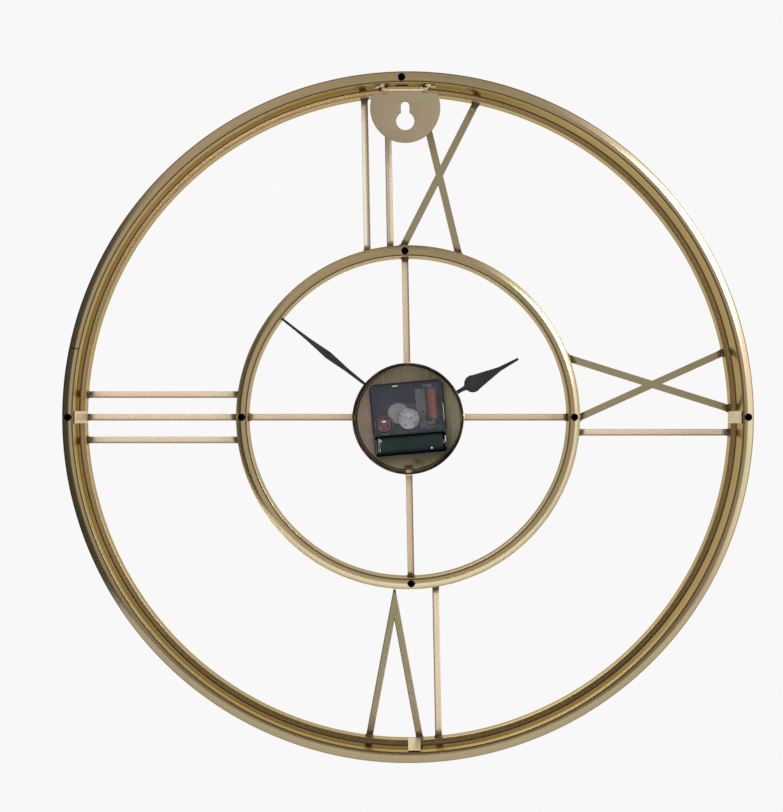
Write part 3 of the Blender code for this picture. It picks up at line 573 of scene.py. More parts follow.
def cut(piece, builders):
    """Takes closed shapes out of a piece for good."""
    helpers = []
    for builder in builders:
        mesh = bpy.data.meshes.new("cutter")
        bmesh.ops.recalc_face_normals(builder, faces=builder.faces)
        builder.to_mesh(mesh)
        builder.free()
        helper = bpy.data.objects.new("cutter", mesh)
        bpy.context.scene.collection.objects.link(helper)
        modifier = piece.modifiers.new("cut", "BOOLEAN")
        modifier.operation = "DIFFERENCE"
        modifier.object = helper
        helpers.append(helper)
    result = bpy.data.meshes.new_from_object(piece.evaluated_get(bpy.context.evaluated_depsgraph_get()))
    piece.modifiers.clear()
    piece.data = result
    result.shade_smooth()
    result.set_sharp_from_angle(angle=radians(35))
    for helper in helpers:
        bpy.data.objects.remove(helper)


def tube(path, radius, sides=20):
    """A round wire along points, with domed ends."""
    builder = bmesh.new()
    rows = []
    last = len(path) - 1
    for i, point in enumerate(path):
        along = (path[min(i + 1, last)] - path[max(i - 1, 0)]).normalized()
        side = along.cross(Vector((0, 1, 0))).normalized()
        over = side.cross(along)
        rows.append([builder.verts.new(point + (side * cos(a) + over * sin(a)) * radius)
                     for a in (tau * k / sides for k in range(sides))])
    for a, b in zip(rows, rows[1:]):
        for i in range(sides):
            j = (i + 1) % sides
            builder.faces.new((a[i], a[j], b[j], b[i]))
    for row, point, step in ((rows[0], path[0], path[0] - path[1]),
                             (rows[-1], path[-1], path[-1] - path[-2])):
        tip = builder.verts.new(point + step.normalized() * radius * 0.6)
        for i in range(sides):
            builder.faces.new((row[i], row[(i + 1) % sides], tip))
    return builder


def polar(radius, angle, depth=0.0):
    """A world point from a radius and an angle clockwise from 12, as seen from the front."""
    return Vector((radius * sin(angle), -depth, CENTRE_Z + radius * cos(angle)))


def turned(angle):
    return Matrix.Translation((0, 0, CENTRE_Z)) @ Matrix.Rotation(angle, 4, "Y")


def member_angle(hour):
    lean = UPRIGHT_LEAN if hour in (12, 6) else LEVEL_LEAN
    return tau * hour / 12 + lean


# ---------------------------------------------------------------- rings
def crown(outer_r, back, width, steps=8):
    """The rounded-off outer part of a ring's back face."""
    points = []
    for i in range(steps + 1):
        t = i / steps
        points.append((outer_r - width * (1 - t), -back - CROWN_DROP * t ** 1.25, 0))
    return points


def ring_piece(node, inner_r, outer_r, back, front, finish, crown_width, screws=(), deep=0.0,
               lining_finish=None):
    """A ring of tube. Each screw sits at the bottom of an access hole, lined with a black sleeve as painted
    shade.
    """
    corner = 0.45 * MM
    profile = [(inner_r, -back, corner)]
    profile += crown(outer_r, back, crown_width) if crown_width else [(outer_r, -back, 0.8 * MM)]
    profile += [(outer_r, -front, corner), (inner_r, -front, corner)]
    builder = lathe(soften(profile), RING_STEPS, closed=True)
    for vertex in builder.verts:
        angle = atan2(vertex.co.x, vertex.co.z)
        wave = noise.noise(Vector((3.1 * cos(angle), 3.1 * sin(angle), outer_r * 30))) * 0.10 * MM
        vertex.co.y -= abs(wave)
        scale = 1 - abs(wave) * 0.5 / outer_r
        vertex.co.x *= scale
        vertex.co.z *= scale
    piece = add_piece(f"{node}_fine", builder, finish, stands_for=(node,), place=turned(0))
    if not screws:
        return
    recess = [(0, -deep), (SCREW_RECESS_R, -deep), (SCREW_RECESS_R, -0.35 * MM),
              (SCREW_RECESS_R + 0.45 * MM, 0.1 * MM)]
    recess += [(SCREW_RECESS_R + 0.45 * MM, 1 * MM), (0, 1 * MM)]
    cutters = []
    for node in screws:
        low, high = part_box(node)
        place = Matrix.Translation(((low.x + high.x) / 2, -back, (low.z + high.z) / 2))
        hole = lathe(recess, 32)
        hole.transform(place)
        cutters.append(hole)
        # Painted shade: a thin black sleeve lines the hole's inside.
        lining = [(SCREW_RECESS_R - 0.15 * MM, -0.45 * MM), (SCREW_RECESS_R - 0.01 * MM, -0.45 * MM)]
        lining += [(SCREW_RECESS_R - 0.01 * MM, -deep), (SCREW_RECESS_R - 0.15 * MM, -deep)]
        add_piece(f"{node}_shaft", lathe(lining, 32, closed=True), lining_finish, place=place)
    cut(piece, cutters)


def screw_piece(node, finish):
    """A pan head with a cross recess, standing for the node whose place and size it takes."""
    low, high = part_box(node)
    head_r = (high.x - low.x) / 2
    x, z = (high.x + low.x) / 2, (high.z + low.z) / 2
    rim = -1.5 * MM
    profile = [(0, 0), (head_r * 0.45, -0.10 * MM), (head_r * 0.80, -0.45 * MM), (head_r, -1.0 * MM),
               (head_r, rim)]
    profile += [(head_r * 0.56, rim), (head_r * 0.56, low.y - high.y), (0, low.y - high.y)]
    piece = add_piece(f"{node}_fine", lathe(profile, 32), finish, stands_for=(node,),
                      place=Matrix.Translation((x, high.y, z)))
    slots = []
    for turn in (0.3, 0.3 + pi / 2):
        slot = box((-head_r * 0.55, -0.8 * MM, -0.28 * MM), (head_r * 0.55, 1 * MM, 0.28 * MM))
        slot.transform(Matrix.Translation((x, high.y, z)) @ Matrix.Rotation(turn, 4, "Y"))
        slots.append(slot)
    cut(piece, slots)


def seam(angle, finish):
    """The ground-down butt weld that closes the back ring."""
    builder = bmesh.new()
    rows = []
    for i in range(15):
        radius = BACK_RING_IN_R + 0.3 * MM + (OUTER_R - BACK_RING_IN_R - 0.6 * MM) * i / 14
        over = max(0.0, radius - (OUTER_R - CROWN_WIDTH)) / CROWN_WIDTH
        depth = CROWN_DROP * over ** 1.25
        row = []
        for k in range(7):
            across = (k / 6 - 0.5) * 1.5 * MM
            lift = 0.22 * MM * cos((k / 6 - 0.5) * pi)
            lift += 0.06 * MM * noise.noise(Vector((i * 0.9, k * 0.7, 4.0)))
            row.append(builder.verts.new((across, -depth + lift - 0.12 * MM, radius)))
        rows.append(row)
    for a, b in zip(rows, rows[1:]):
        for k in range(6):
            builder.faces.new((a[k], a[k + 1], b[k + 1], b[k]))
    top = list(builder.faces)
    grown = bmesh.ops.extrude_face_region(builder, geom=top)
    for item in grown["geom"]:
        if isinstance(item, bmesh.types.BMVert):
            item.co.y -= 0.3 * MM
    add_piece("back_ring_seam", builder, finish, place=turned(angle))


def build_rings():
    # Painted shade: dark lines along the inner and outer edges of the back ring's back face.
    inner_edge_shade = (BACK_RING_IN_R + 0.8 * MM, 0.8 * MM, (0.22, 0.17, 0.10))
    outer_edge_shade = (OUTER_R - 0.3 * MM, 0.7 * MM, (0.30, 0.25, 0.17))
    back_finish = gold("back_ring_gold", (OLIVE, PALE, PINK, PALE), AROUND, (0.16, 0.26), 9.0,
                       lines=(inner_edge_shade, outer_edge_shade), paint=paint_back_ring)
    front_finish = gold("front_ring_gold", (PALE, OLIVE, PALE), AROUND, (0.20, 0.30), 13.0,
                        paint=paint_front_ring)
    # The inner ring's back face gets a painted shade line along its inner edge.
    inner_finish = gold("inner_ring_gold", (OLIVE, PALE, PALE, PINK), AROUND, (0.18, 0.28), 15.0,
                        lines=((INNER_RING_IN_R + 0.9 * MM, 0.7 * MM,
                                (0.22, 0.17, 0.11)),), paint=paint_inner_ring)
    black = enamel("screw_black", (0.008, 0.008, 0.009), (0.020, 0.019, 0.020))
    # Painted shade for the inside of the screw holes.
    hole_shade = plastic("hole_shade_black", (0.004, 0.004, 0.004), (0.010, 0.009, 0.008), (0.6, 0.8))
    ring_screws = [f"ring_screw_{hour}" for hour in (12, 3, 9)]
    inner_screws = [f"inner_screw_{hour}" for hour in (12, 3, 6, 9)]
    head = -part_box(ring_screws[0])[1].y
    ring_piece("back_ring", BACK_RING_IN_R, OUTER_R, 0.0, BACK_RING_DEPTH, back_finish, CROWN_WIDTH,
               ring_screws, head + 1.8 * MM, hole_shade)
    ring_piece("front_ring", FRONT_RING_IN_R, OUTER_R, FRONT_RING_BACK, FRAME_DEPTH, front_finish, 0.0)
    inner_head = -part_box(inner_screws[0])[1].y - INNER_RING_BACK
    ring_piece("inner_ring", INNER_RING_IN_R, INNER_RING_R, INNER_RING_BACK, FRAME_DEPTH, inner_finish,
               CROWN_WIDTH * 0.8, inner_screws, inner_head + 1.8 * MM, hole_shade)
    for node in ring_screws + inner_screws:
        screw_piece(node, black)
    seam(SEAM_ANGLE, weld_metal())
    strap = gold("spacer_gold", (CREAM, PALE, CREAM), (300.0, 60.0, 900.0), (0.24, 0.36), 60.0, metallic=0.6)
    for hour in (12, 3, 6, 9):
        dress(f"spacer_{hour}", strap, 0.35 * MM)


# ---------------------------------------------------------------- bars and their welds
def bead(name, centre, outward, half_width, finish, rise):
    """A lumpy collar of weld round a bar's end. `outward` points from the bar's end into the ring."""
    side = Vector((outward.z, 0, -outward.x))
    builder = bmesh.new()
    rows = []
    count = 28
    for back, grow in ((-0.25, 0.75), (0.15, 0.85), (0.60, 0.60), (1.10, 0.30), (rise, 0.04)):
        row = []
        for k in range(count):
            angle = tau * k / count
            c, s = cos(angle), sin(angle)
            flat = max(abs(c), abs(s)) ** 0.72
            lump = 1 + 0.55 * noise.noise(Vector((centre.x * 90 + c, back * 2 + centre.z * 90, s)))
            wide = (half_width + grow * lump * MM) * c / flat
            deep = (BAR / 2 + grow * lump * 0.55 * MM) * s / flat
            row.append(builder.verts.new(centre - outward * back * MM + side * wide + Vector((0, deep, 0))))
        rows.append(row)
    builder.faces.new(rows[0])
    builder.faces.new(rows[-1])
    for a, b in zip(rows, rows[1:]):
        for i in range(count):
            j = (i + 1) % count
            builder.faces.new((a[i], a[j], b[j], b[i]))
    add_piece(name, builder, finish, sharp=50)


def bar_ends(node):
    """Where a bar's solid meets the two rings: (centre, outward, half width) for each end it has."""
    places = {}
    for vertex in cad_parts[node].data.vertices:
        x, z = vertex.co.x, vertex.co.z - CENTRE_Z
        radius = hypot(x, z)
        for at, sign in ((INNER_RING_R, -1), (FRONT_RING_IN_R, 1)):
            if abs(radius - at) < 1.2 * MM:
                places.setdefault(sign, set()).add((round(x, 6), round(z, 6)))
    ends = []
    for sign, found in places.items():
        at = INNER_RING_R if sign < 0 else FRONT_RING_IN_R
        groups = []
        for x, z in sorted(found):
            near = [g for g in groups if hypot(g[-1][0] - x, g[-1][1] - z) < BAR * 1.7]
            if near:
                near[0].append((x, z))
            else:
                groups.append([(x, z)])
        for group in groups:
            middle = Vector((sum(p[0] for p in group), 0, sum(p[1] for p in group))) / len(group)
            width = max(hypot(a[0] - b[0], a[1] - b[1]) for a in group for b in group) / 2
            outward = middle.normalized() * sign
            centre = middle.normalized() * at + Vector((0, -(BAR_BACK + BAR_FRONT) / 2, CENTRE_Z))
            ends.append((centre, outward, width))
    return ends


def build_bars():
    weld = weld_metal()
    # Painted shade: a dark tone mixed into the bars' sideways faces.
    dark = ((0.20, 0.16, 0.10), 0.85)

    def bar_gold(name, tones, paint=None, metallic=1.0, side=dark):
        return gold(name, tones, ALONG, (0.20, 0.32), 34.0, BAR_HEAT, side=side, paint=paint,
                    metallic=metallic)

    # Painted light and shade across the bars, from one edge to the other.
    shaded = [
        (0.0, (0.12, 0.08, 0.06)), (0.16, (0.34, 0.25, 0.18)), (0.30, (0.82, 0.66, 0.53)),
        (0.88, (0.90, 0.76, 0.60)), (1.0, (0.50, 0.40, 0.30)),
    ]
    lit_left = [
        (0.0, (0.06, 0.04, 0.03)), (0.20, (0.24, 0.18, 0.13)), (0.42, (0.62, 0.52, 0.38)),
        (0.60, (1.0, 0.95, 0.85)), (1.0, (1.0, 0.97, 0.90)),
    ]
    striped_light = [
        (0.0, (0.12, 0.09, 0.07)), (0.14, (0.86, 0.76, 0.58)), (0.44, (0.80, 0.66, 0.52)),
        (0.50, (0.16, 0.12, 0.11)), (0.58, (0.62, 0.50, 0.46)), (0.84, (0.48, 0.38, 0.36)),
        (1.0, (0.08, 0.06, 0.05)),
    ]
    lit_right = [
        (0.0, (0.92, 0.78, 0.60)), (0.76, (0.95, 0.80, 0.62)), (0.90, (0.30, 0.22, 0.15)),
        (1.0, (0.12, 0.09, 0.06)),
    ]
    olive = bar_gold("bar_gold_olive", (OLIVE, (0.72, 0.66, 0.50), OLIVE))
    finishes = {"numeral_9_x": olive, "numeral_12_x": olive, "numeral_6_v": olive}
    level = ("numeral_3_upper_bar", "numeral_3_middle_bar", "numeral_3_lower_bar", "numeral_9_i")
    straight = [(node, LEVEL_LEAN, False, shaded) for node in level]
    straight += [("numeral_12_outer_i", UPRIGHT_LEAN, True, lit_left),
                 ("numeral_6_i", UPRIGHT_LEAN, True, lit_right)]
    straight.append(("numeral_12_inner_i", UPRIGHT_LEAN, True, striped_light))
    for node, lean, upright, stops in straight:
        paint = across(node, lean, upright, stops)
        finishes[node] = bar_gold(f"{node}_gold", (PALE, CREAM, PINK), paint, 0.45, None)
    for node, finish in finishes.items():
        dress(node, finish, 0.75 * MM, 3)
        for i, (centre, outward, width) in enumerate(bar_ends(node)):
            bead(f"{node}_weld_{i}", centre, outward, width, weld, 1.9)
    flange = gold("spoke_flange_gold", (CREAM, PALE), None, (0.18, 0.28), 90.0, metallic=0.6)
    centre_depth = -(BAR_BACK + BAR_FRONT) / 2
    for hour in (12, 3, 6, 9):
        upright = hour in (12, 6)
        # The spokes get the same painted light and shade across them.
        paint = across(f"spoke_{hour}", UPRIGHT_LEAN if upright else LEVEL_LEAN, upright, shaded)
        spoke = gold(f"spoke_{hour}_gold", (PALE, PINK, PALE), ALONG, (0.20, 0.32), 40.0, SPOKE_HEAT,
                     paint=paint, metallic=0.6)
        dress(f"spoke_{hour}", spoke, 0.75 * MM, 3)
        outward = polar(1.0, member_angle(hour)) - Vector((0, 0, CENTRE_Z))
        cup_r = CUP_R + outward.z * (CUP_Z - CENTRE_Z)
        for end, radius, sign, metal_finish in (("cup", cup_r, -1, flange),
                                                ("ring", INNER_RING_IN_R, 1, weld)):
            centre = Vector((0, centre_depth, CENTRE_Z)) + outward * radius
            bead(f"spoke_{hour}_weld_{end}", centre, outward * sign, BAR / 2, metal_finish, 1.4)


# ---------------------------------------------------------------- cup
def cup_gold():
    """Duller, greyer plate with streaks up and down the floor, darker olive blotches towards the bottom, a
    darker brown inner wall and a black rim as painted shade, and a painted shade line on part of the floor.
    """
    shader = Shader("cup_gold", Metallic=0.8)
    radius, angle = shader.polar(CUP_Z)[:2]
    patches = shader.noise(shader.scaled(1.0, 1.0, 0.7), 22.0, 3.0, 0.6)
    green = shader.ramp(patches, [(0.34, (0.44, 0.43, 0.30)), (0.66, (0.52, 0.49, 0.37))])
    pink = shader.ramp(patches, [(0.34, (0.50, 0.47, 0.40)), (0.52, (0.62, 0.51, 0.44)),
                                 (0.70, (0.68, 0.53, 0.46))])
    color = shader.mix(shader.toward(angle, radians(80), -0.5, 0.5), green, pink)
    streaks = shader.noise(shader.scaled(1.0, 1.0, 0.06), 900.0, 3.0, 0.6)
    color = shader.mix(shader.spread(streaks, 0.0, 0.40, 0.45, 0.70), color, (0.26, 0.25, 0.19, 1.0))
    # Darker olive blotches, most of them towards the bottom.
    blotches = shader.noise(shader.position, 75.0, 2.0)
    low_blotches = shader.times(shader.spread(blotches, 0.0, 0.7, 0.58, 0.68), shader.toward(angle, pi, 0.2, 0.8))
    color = shader.mix(low_blotches, color, (0.16, 0.15, 0.05, 1.0))
    # Painted shade: a black line on the floor just inside the wall, towards +X and the bottom.
    floor_shade_line = shader.times(shader.band(radius, CUP_R - 2.7 * MM, 0.7 * MM),
                              shader.toward(angle, radians(130), -0.6, 0.3))
    color = shader.mix(floor_shade_line, color, (*SHADE_BLACK, 1.0))
    # Painted shade: the inner wall is a darker brown.
    wall = shader.spread(radius, 0.0, 1.0, CUP_R - 1.9 * MM, CUP_R - 1.6 * MM)
    color = shader.mix(wall, color, (0.30, 0.25, 0.18, 1.0))
    # Painted shade: the rim is black, in ragged patches of dark brown.
    rim = shader.spread(radius, 0.0, 1.0, CUP_R - 1.2 * MM, CUP_R - 1.0 * MM)
    ragged = shader.spread(shader.noise(shader.position, 160.0, 2.0), 0.0, 1.0, 0.48, 0.60)
    wear_and_shade = shader.mix(ragged, (*SHADE_BLACK, 1.0), (0.16, 0.12, 0.07, 1.0))
    color = shader.mix(rim, color, wear_and_shade)
    shader.link(color, shader.bsdf.inputs["Base Color"])
    shader.link(shader.spread(streaks, 0.34, 0.50), shader.bsdf.inputs["Roughness"])
    shader.bump(streaks, 0.18, 0.0001)
    return shader.material


def build_cup():
    wall = 1.0 * MM
    hole_r = 5.2 * MM
    inside = CUP_R - wall
    profile = [(hole_r, -CUP_FRONT, 0.2 * MM), (CUP_R, -CUP_FRONT, 1.2 * MM), (CUP_R, -CUP_RIM, 0.45 * MM)]
    profile += [(inside, -CUP_RIM, 0.45 * MM), (inside, -CUP_FRONT + wall, 1.6 * MM),
                (hole_r, -CUP_FRONT + wall, 0.2 * MM)]
    place = Matrix.Translation((0, 0, CUP_Z))
    cup = add_piece("movement_cup_fine", lathe(soften(profile, 5), CUP_STEPS, closed=True), cup_gold(),
                    stands_for=("movement_cup",), place=place)
    notches = []
    half = BAR / 2 + 0.3 * MM
    for hour in (12, 3, 6, 9):
        notch = box((-half, -BAR_FRONT - 0.1 * MM, CUP_R - 4 * MM),
                    (half, -BAR_BACK + 0.3 * MM, CUP_R + 4 * MM))
        notch.transform(turned(member_angle(hour)))
        notches.append(notch)
    cut(cup, notches)


# ---------------------------------------------------------------- hanger
def lump(name, centre, size, finish, body, seed):
    """A small irregular blob of weld."""
    builder = bmesh.new()
    bmesh.ops.create_icosphere(builder, subdivisions=3, radius=1.0)
    for vertex in builder.verts:
        push = 1 + 0.28 * noise.noise(vertex.co * 1.7 + Vector((seed, 0, 0)))
        vertex.co = Vector((vertex.co.x * size[0], vertex.co.y * size[1], vertex.co.z * size[2])) * push
    add_piece(name, builder, finish, body, place=Matrix.Translation(centre), sharp=60)


def build_hanger():
    place = Matrix.Translation((0, -HINGE_DEPTH, HINGE_Z))
    centre_z = PLATE_CENTRE_Z - HINGE_Z
    top_z = PLATE_TOP_Z - HINGE_Z
    chord = acos((PLATE_TOP_Z - PLATE_CENTRE_Z) / PLATE_R)
    outline = circle((0, centre_z), PLATE_R, 120, chord, tau - 2 * chord)
    outline += [(-KNUCKLE_HALF, top_z), (-KNUCKLE_HALF, -1.6 * MM), (KNUCKLE_HALF, -1.6 * MM),
                (KNUCKLE_HALF, top_z)]
    shoulder = asin(KEY_SLOT_HALF / KEY_HOLE_R)
    key = circle((0, KEY_HOLE_Z - HINGE_Z), KEY_HOLE_R, 60, shoulder, tau - 2 * shoulder)
    key += circle((0, -HINGE_Z), KEY_SLOT_HALF, 20, -pi / 2, pi)
    # Painted shade: the plate's sideways faces get a darker tone.
    finish = gold("hanger_gold", ((0.30, 0.275, 0.185), (0.33, 0.27, 0.19), (0.36, 0.275, 0.21)), None,
                  (0.50, 0.60), 40.0,
                  side=((0.16, 0.12, 0.08), 0.9), metallic=0.35)
    half = PLATE_THICK / 2
    add_piece("hanger_plate_fine", sheet([outline, key], -half, half, 0.25 * MM), finish,
              "hanger",
              ("hanger_plate",), place)
    bright = gold("knuckle_gold", (CREAM, PALE), None, (0.14, 0.22), 80.0)
    bore = 1.25 * MM
    knuckle = [(bore, -KNUCKLE_HALF, 0.2 * MM), (KNUCKLE_R, -KNUCKLE_HALF, 0.3 * MM)]
    knuckle += [(KNUCKLE_R, KNUCKLE_HALF, 0.3 * MM), (bore, KNUCKLE_HALF, 0.2 * MM)]
    across = Matrix.Rotation(pi / 2, 4, "Z")
    add_piece("hanger_knuckle", lathe(soften(knuckle), 40, closed=True), bright, "hanger",
              place=place @ across)

    bend = 2.2 * MM
    leg = WIRE_END_Z - HINGE_Z
    right = [Vector((WIRE_HALF - bend + bend * sin(a), 0,
                     bend - bend * cos(a))) for a in (pi / 16 * k for k in range(9))]
    right += [Vector((WIRE_HALF, 0, bend + (leg - bend) * t)) for t in (0.5, 1.0)]
    left = [Vector((-p.x, p.y, p.z)) for p in reversed(right)]
    straight = [Vector((x * MM, 0, 0)) for x in (-10, -5, 0, 5, 10)]
    add_piece("hanger_wire_fine", tube(left + straight + right, WIRE_R), bright, "frame",
              ("hanger_wire",), place)
    burnt = weld_metal()
    weld = gold("hanger_weld_gold", (CREAM, PALE, (0.35, 0.24, 0.16)), None, (0.16, 0.30), 500.0)
    for side in (-1, 1):
        at = Vector((side * WIRE_HALF, -HINGE_DEPTH + 0.2 * MM, WIRE_END_Z + 0.4 * MM))
        end = "right" if side > 0 else "left"
        lump(f"wire_weld_{end}", at, (2.6 * MM, 1.5 * MM, 1.9 * MM), weld, "frame", side * 3.0)
        foot = at + Vector((side * 2.9 * MM, -0.6 * MM, -1.6 * MM))
        lump(f"wire_foot_{end}", foot, (2.6 * MM, 1.0 * MM, 1.1 * MM), weld, "frame", side * 7.0)
        heel = at + Vector((side * 1.2 * MM, -1.6 * MM, -3.4 * MM))
        lump(f"wire_heel_{end}", heel, (1.6 * MM, 1.0 * MM, 1.3 * MM), burnt, "frame", side * 5.0)


# ---------------------------------------------------------------- movement
def build_wheels():
    white = plastic("wheel_white", (0.42, 0.40, 0.44), (0.95, 0.93, 0.96), (0.30, 0.45), 700.0, 0.3,
                    patch=420.0)
    grey = plastic("wheel_grey", (0.44, 0.42, 0.42), (0.58, 0.56, 0.56), (0.35, 0.5), 700.0, 0.2)
    plum = plastic("wheel_plum", (0.09, 0.07, 0.09), (0.17, 0.13, 0.16), (0.35, 0.5), 700.0, 0.2)
    tones = {"seconds_wheel": white, "third_wheel": grey, "centre_wheel": plum, "motion_wheel": plum,
             "hour_wheel": plum, "intermediate_wheel": plum}
    for node, finish in tones.items():
        dress(node, finish)
    bodies = {"seconds": ("seconds_work", (0, 0), 13.2 * MM, 8.0 * MM),
              "third": ("third_work", THIRD_AXIS, 11.4 * MM, 7.2 * MM)}
    for name, (body, axis, top, radius) in bodies.items():
        finish = tones[f"{name}_wheel"]
        place = MOVEMENT @ Matrix.Translation((axis[0], 0, axis[1]))
        rim = [(radius * 0.84, top - 0.1 * MM, 0), (radius * 0.84, top + 0.22 * MM, 0.1 * MM)]
        rim += [(radius * 0.93, top + 0.22 * MM, 0.1 * MM), (radius * 0.93, top - 0.1 * MM, 0)]
        add_piece(f"{name}_wheel_rim", lathe(soften(rim), 72, closed=True), finish, body,
                  place=place)
        for i in range(5):
            angle = tau * i / 5 + 0.4
            rib = box((-0.25 * MM, top - 0.1 * MM, 1.4 * MM), (0.25 * MM, top + 0.20 * MM, radius * 0.86))
            add_piece(f"{name}_wheel_rib_{i}", rib, finish, body,
                      place=place @ Matrix.Rotation(angle, 4, "Y"))


def build_coil():
    """The winding's turns show as fine ridges between the bobbin's two flanges."""
    copper = Shader("copper_wire", Metallic=0.4)
    tone = copper.noise(copper.scaled(1.0, 1.0, 3.0), 500.0, 2.0)
    copper.link(copper.ramp(tone, [(0.3, (0.48, 0.13, 0.07)), (0.7, (0.85, 0.30, 0.17))]),
                copper.bsdf.inputs["Base Color"])
    copper.link(copper.spread(tone, 0.30, 0.42), copper.bsdf.inputs["Roughness"])
    copper.bump(tone, 0.2, 0.0001)
    low, high = COIL_Z
    wire = 0.22 * MM
    turns = int((high - low - 2.4 * MM) / (2 * wire))
    profile = [(1.8 * MM, low + 1.1 * MM)]
    for i in range(turns):
        base = low + 1.2 * MM + 2 * wire * i
        profile += [(COIL_R - wire, base), (COIL_R, base + wire * 0.6), (COIL_R, base + wire * 1.4)]
    profile += [(COIL_R - wire, high - 1.2 * MM), (1.8 * MM, high - 1.1 * MM)]
    place = MOVEMENT @ Matrix.Translation((COIL_X, COIL_DEPTH, 0)) @ Matrix.Rotation(pi / 2, 4, "X")
    add_piece("coil_winding", lathe(profile, 40, closed=True), copper.material,
              stands_for=("coil",), place=place)
    bobbin = plastic("bobbin_plastic", (0.05, 0.06, 0.06), (0.10, 0.11, 0.11), (0.35, 0.5))
    for name, start in (("lower", low), ("upper", high - 1.0 * MM)):
        flange = [(1.9 * MM, start, 0), (FLANGE_R, start, 0.2 * MM), (FLANGE_R, start + 1.0 * MM, 0.2 * MM)]
        flange += [(1.9 * MM, start + 1.0 * MM, 0)]
        add_piece(f"coil_flange_{name}", lathe(soften(flange), 40, closed=True), bobbin,
                  place=place)


def build_cell():
    jacket = Shader("cell_jacket", Specular_IOR_Level=0.15)
    split = jacket.add("ShaderNodeSeparateXYZ")
    jacket.link(jacket.position, split.inputs[0])
    band = jacket.math("ADD", split.outputs[0], jacket.math("MULTIPLY", jacket.noise(jacket.position, 60.0),
                                                            0.002))
    jacket.link(jacket.ramp(jacket.spread(band, 0.0, 1.0, -0.027, 0.027), [
        (0.00, (0.014, 0.024, 0.028)), (0.60, (0.013, 0.024, 0.024)), (0.86, (0.016, 0.030, 0.026))]),
        jacket.bsdf.inputs["Base Color"])
    jacket.link(jacket.spread(jacket.noise(jacket.position, 400.0), 0.55, 0.70),
                jacket.bsdf.inputs["Roughness"])
    jacket.bump(jacket.noise(jacket.position, 300.0), 0.1, 0.0001)
    place = MOVEMENT @ Matrix.Translation((0, CELL_DEPTH, CELL_Z)) @ Matrix.Rotation(pi / 2, 4, "Z")
    fold = 0.6 * MM
    shell = [(0, -CELL_HALF + 0.35 * MM), (CELL_R - 1.6 * MM, -CELL_HALF + 0.35 * MM),
             (CELL_R - 1.3 * MM, -CELL_HALF)]
    shell += [(CELL_R - fold, -CELL_HALF), (CELL_R, -CELL_HALF + fold), (CELL_R, CELL_HALF - 2.0 * MM)]
    shell += [(CELL_R - 0.8 * MM, CELL_HALF - 1.2 * MM), (0, CELL_HALF - 1.2 * MM)]
    add_piece("cell_body", lathe(shell, 64), jacket.material, "battery", ("battery_cell",),
              place)
    nickel = metal("cell_nickel", (0.55, 0.55, 0.54), (0.75, 0.75, 0.73), (0.18, 0.30))
    cap = [(0, CELL_HALF - 1.25 * MM), (2.8 * MM, CELL_HALF - 1.25 * MM), (2.7 * MM, CELL_HALF - 0.3 * MM)]
    cap += [(2.4 * MM, CELL_HALF), (0, CELL_HALF)]
    add_piece("cell_cap", lathe(cap, 40), nickel, "battery", place=place)
    base = [(0, -CELL_HALF + 0.4 * MM), (CELL_R - 1.7 * MM, -CELL_HALF + 0.4 * MM),
            (CELL_R - 1.9 * MM, -CELL_HALF + 0.1 * MM)]
    base += [(0, -CELL_HALF + 0.1 * MM)]
    add_piece("cell_base", lathe(base, 40), nickel, "battery", place=place)
    for i, start in enumerate((0.9 * MM, 1.9 * MM)):
        crimp = [(CELL_R - 0.2 * MM, start - CELL_HALF, 0),
                 (CELL_R + 0.05 * MM, start - CELL_HALF, 0.03 * MM)]
        crimp += [(CELL_R + 0.05 * MM, start + 0.3 * MM - CELL_HALF, 0.03 * MM),
                  (CELL_R - 0.2 * MM, start + 0.3 * MM - CELL_HALF, 0)]
        add_piece(f"cell_crimp_{i}", lathe(soften(crimp), 64, closed=True), nickel,
                  "battery", place=place)
    # A pale dome on the cell's side.
    off_axis = 4.3 * MM
    dot = MOVEMENT @ Matrix.Translation((-15.1 * MM, CELL_DEPTH,
                                         CELL_Z)) @ Matrix.Rotation(-asin(off_axis / CELL_R), 4, "X")
    mark = lathe([(0, CELL_R + 0.10 * MM), (0.7 * MM, CELL_R + 0.07 * MM), (1.05 * MM, CELL_R - 0.2 * MM),
                  (0, CELL_R - 0.3 * MM)], 32)
    pale = plastic("cell_dot_pale", (0.55, 0.60, 0.62), (0.80, 0.84, 0.85), (0.3, 0.4))
    add_piece("cell_mark", mark, pale, "battery", place=dot)


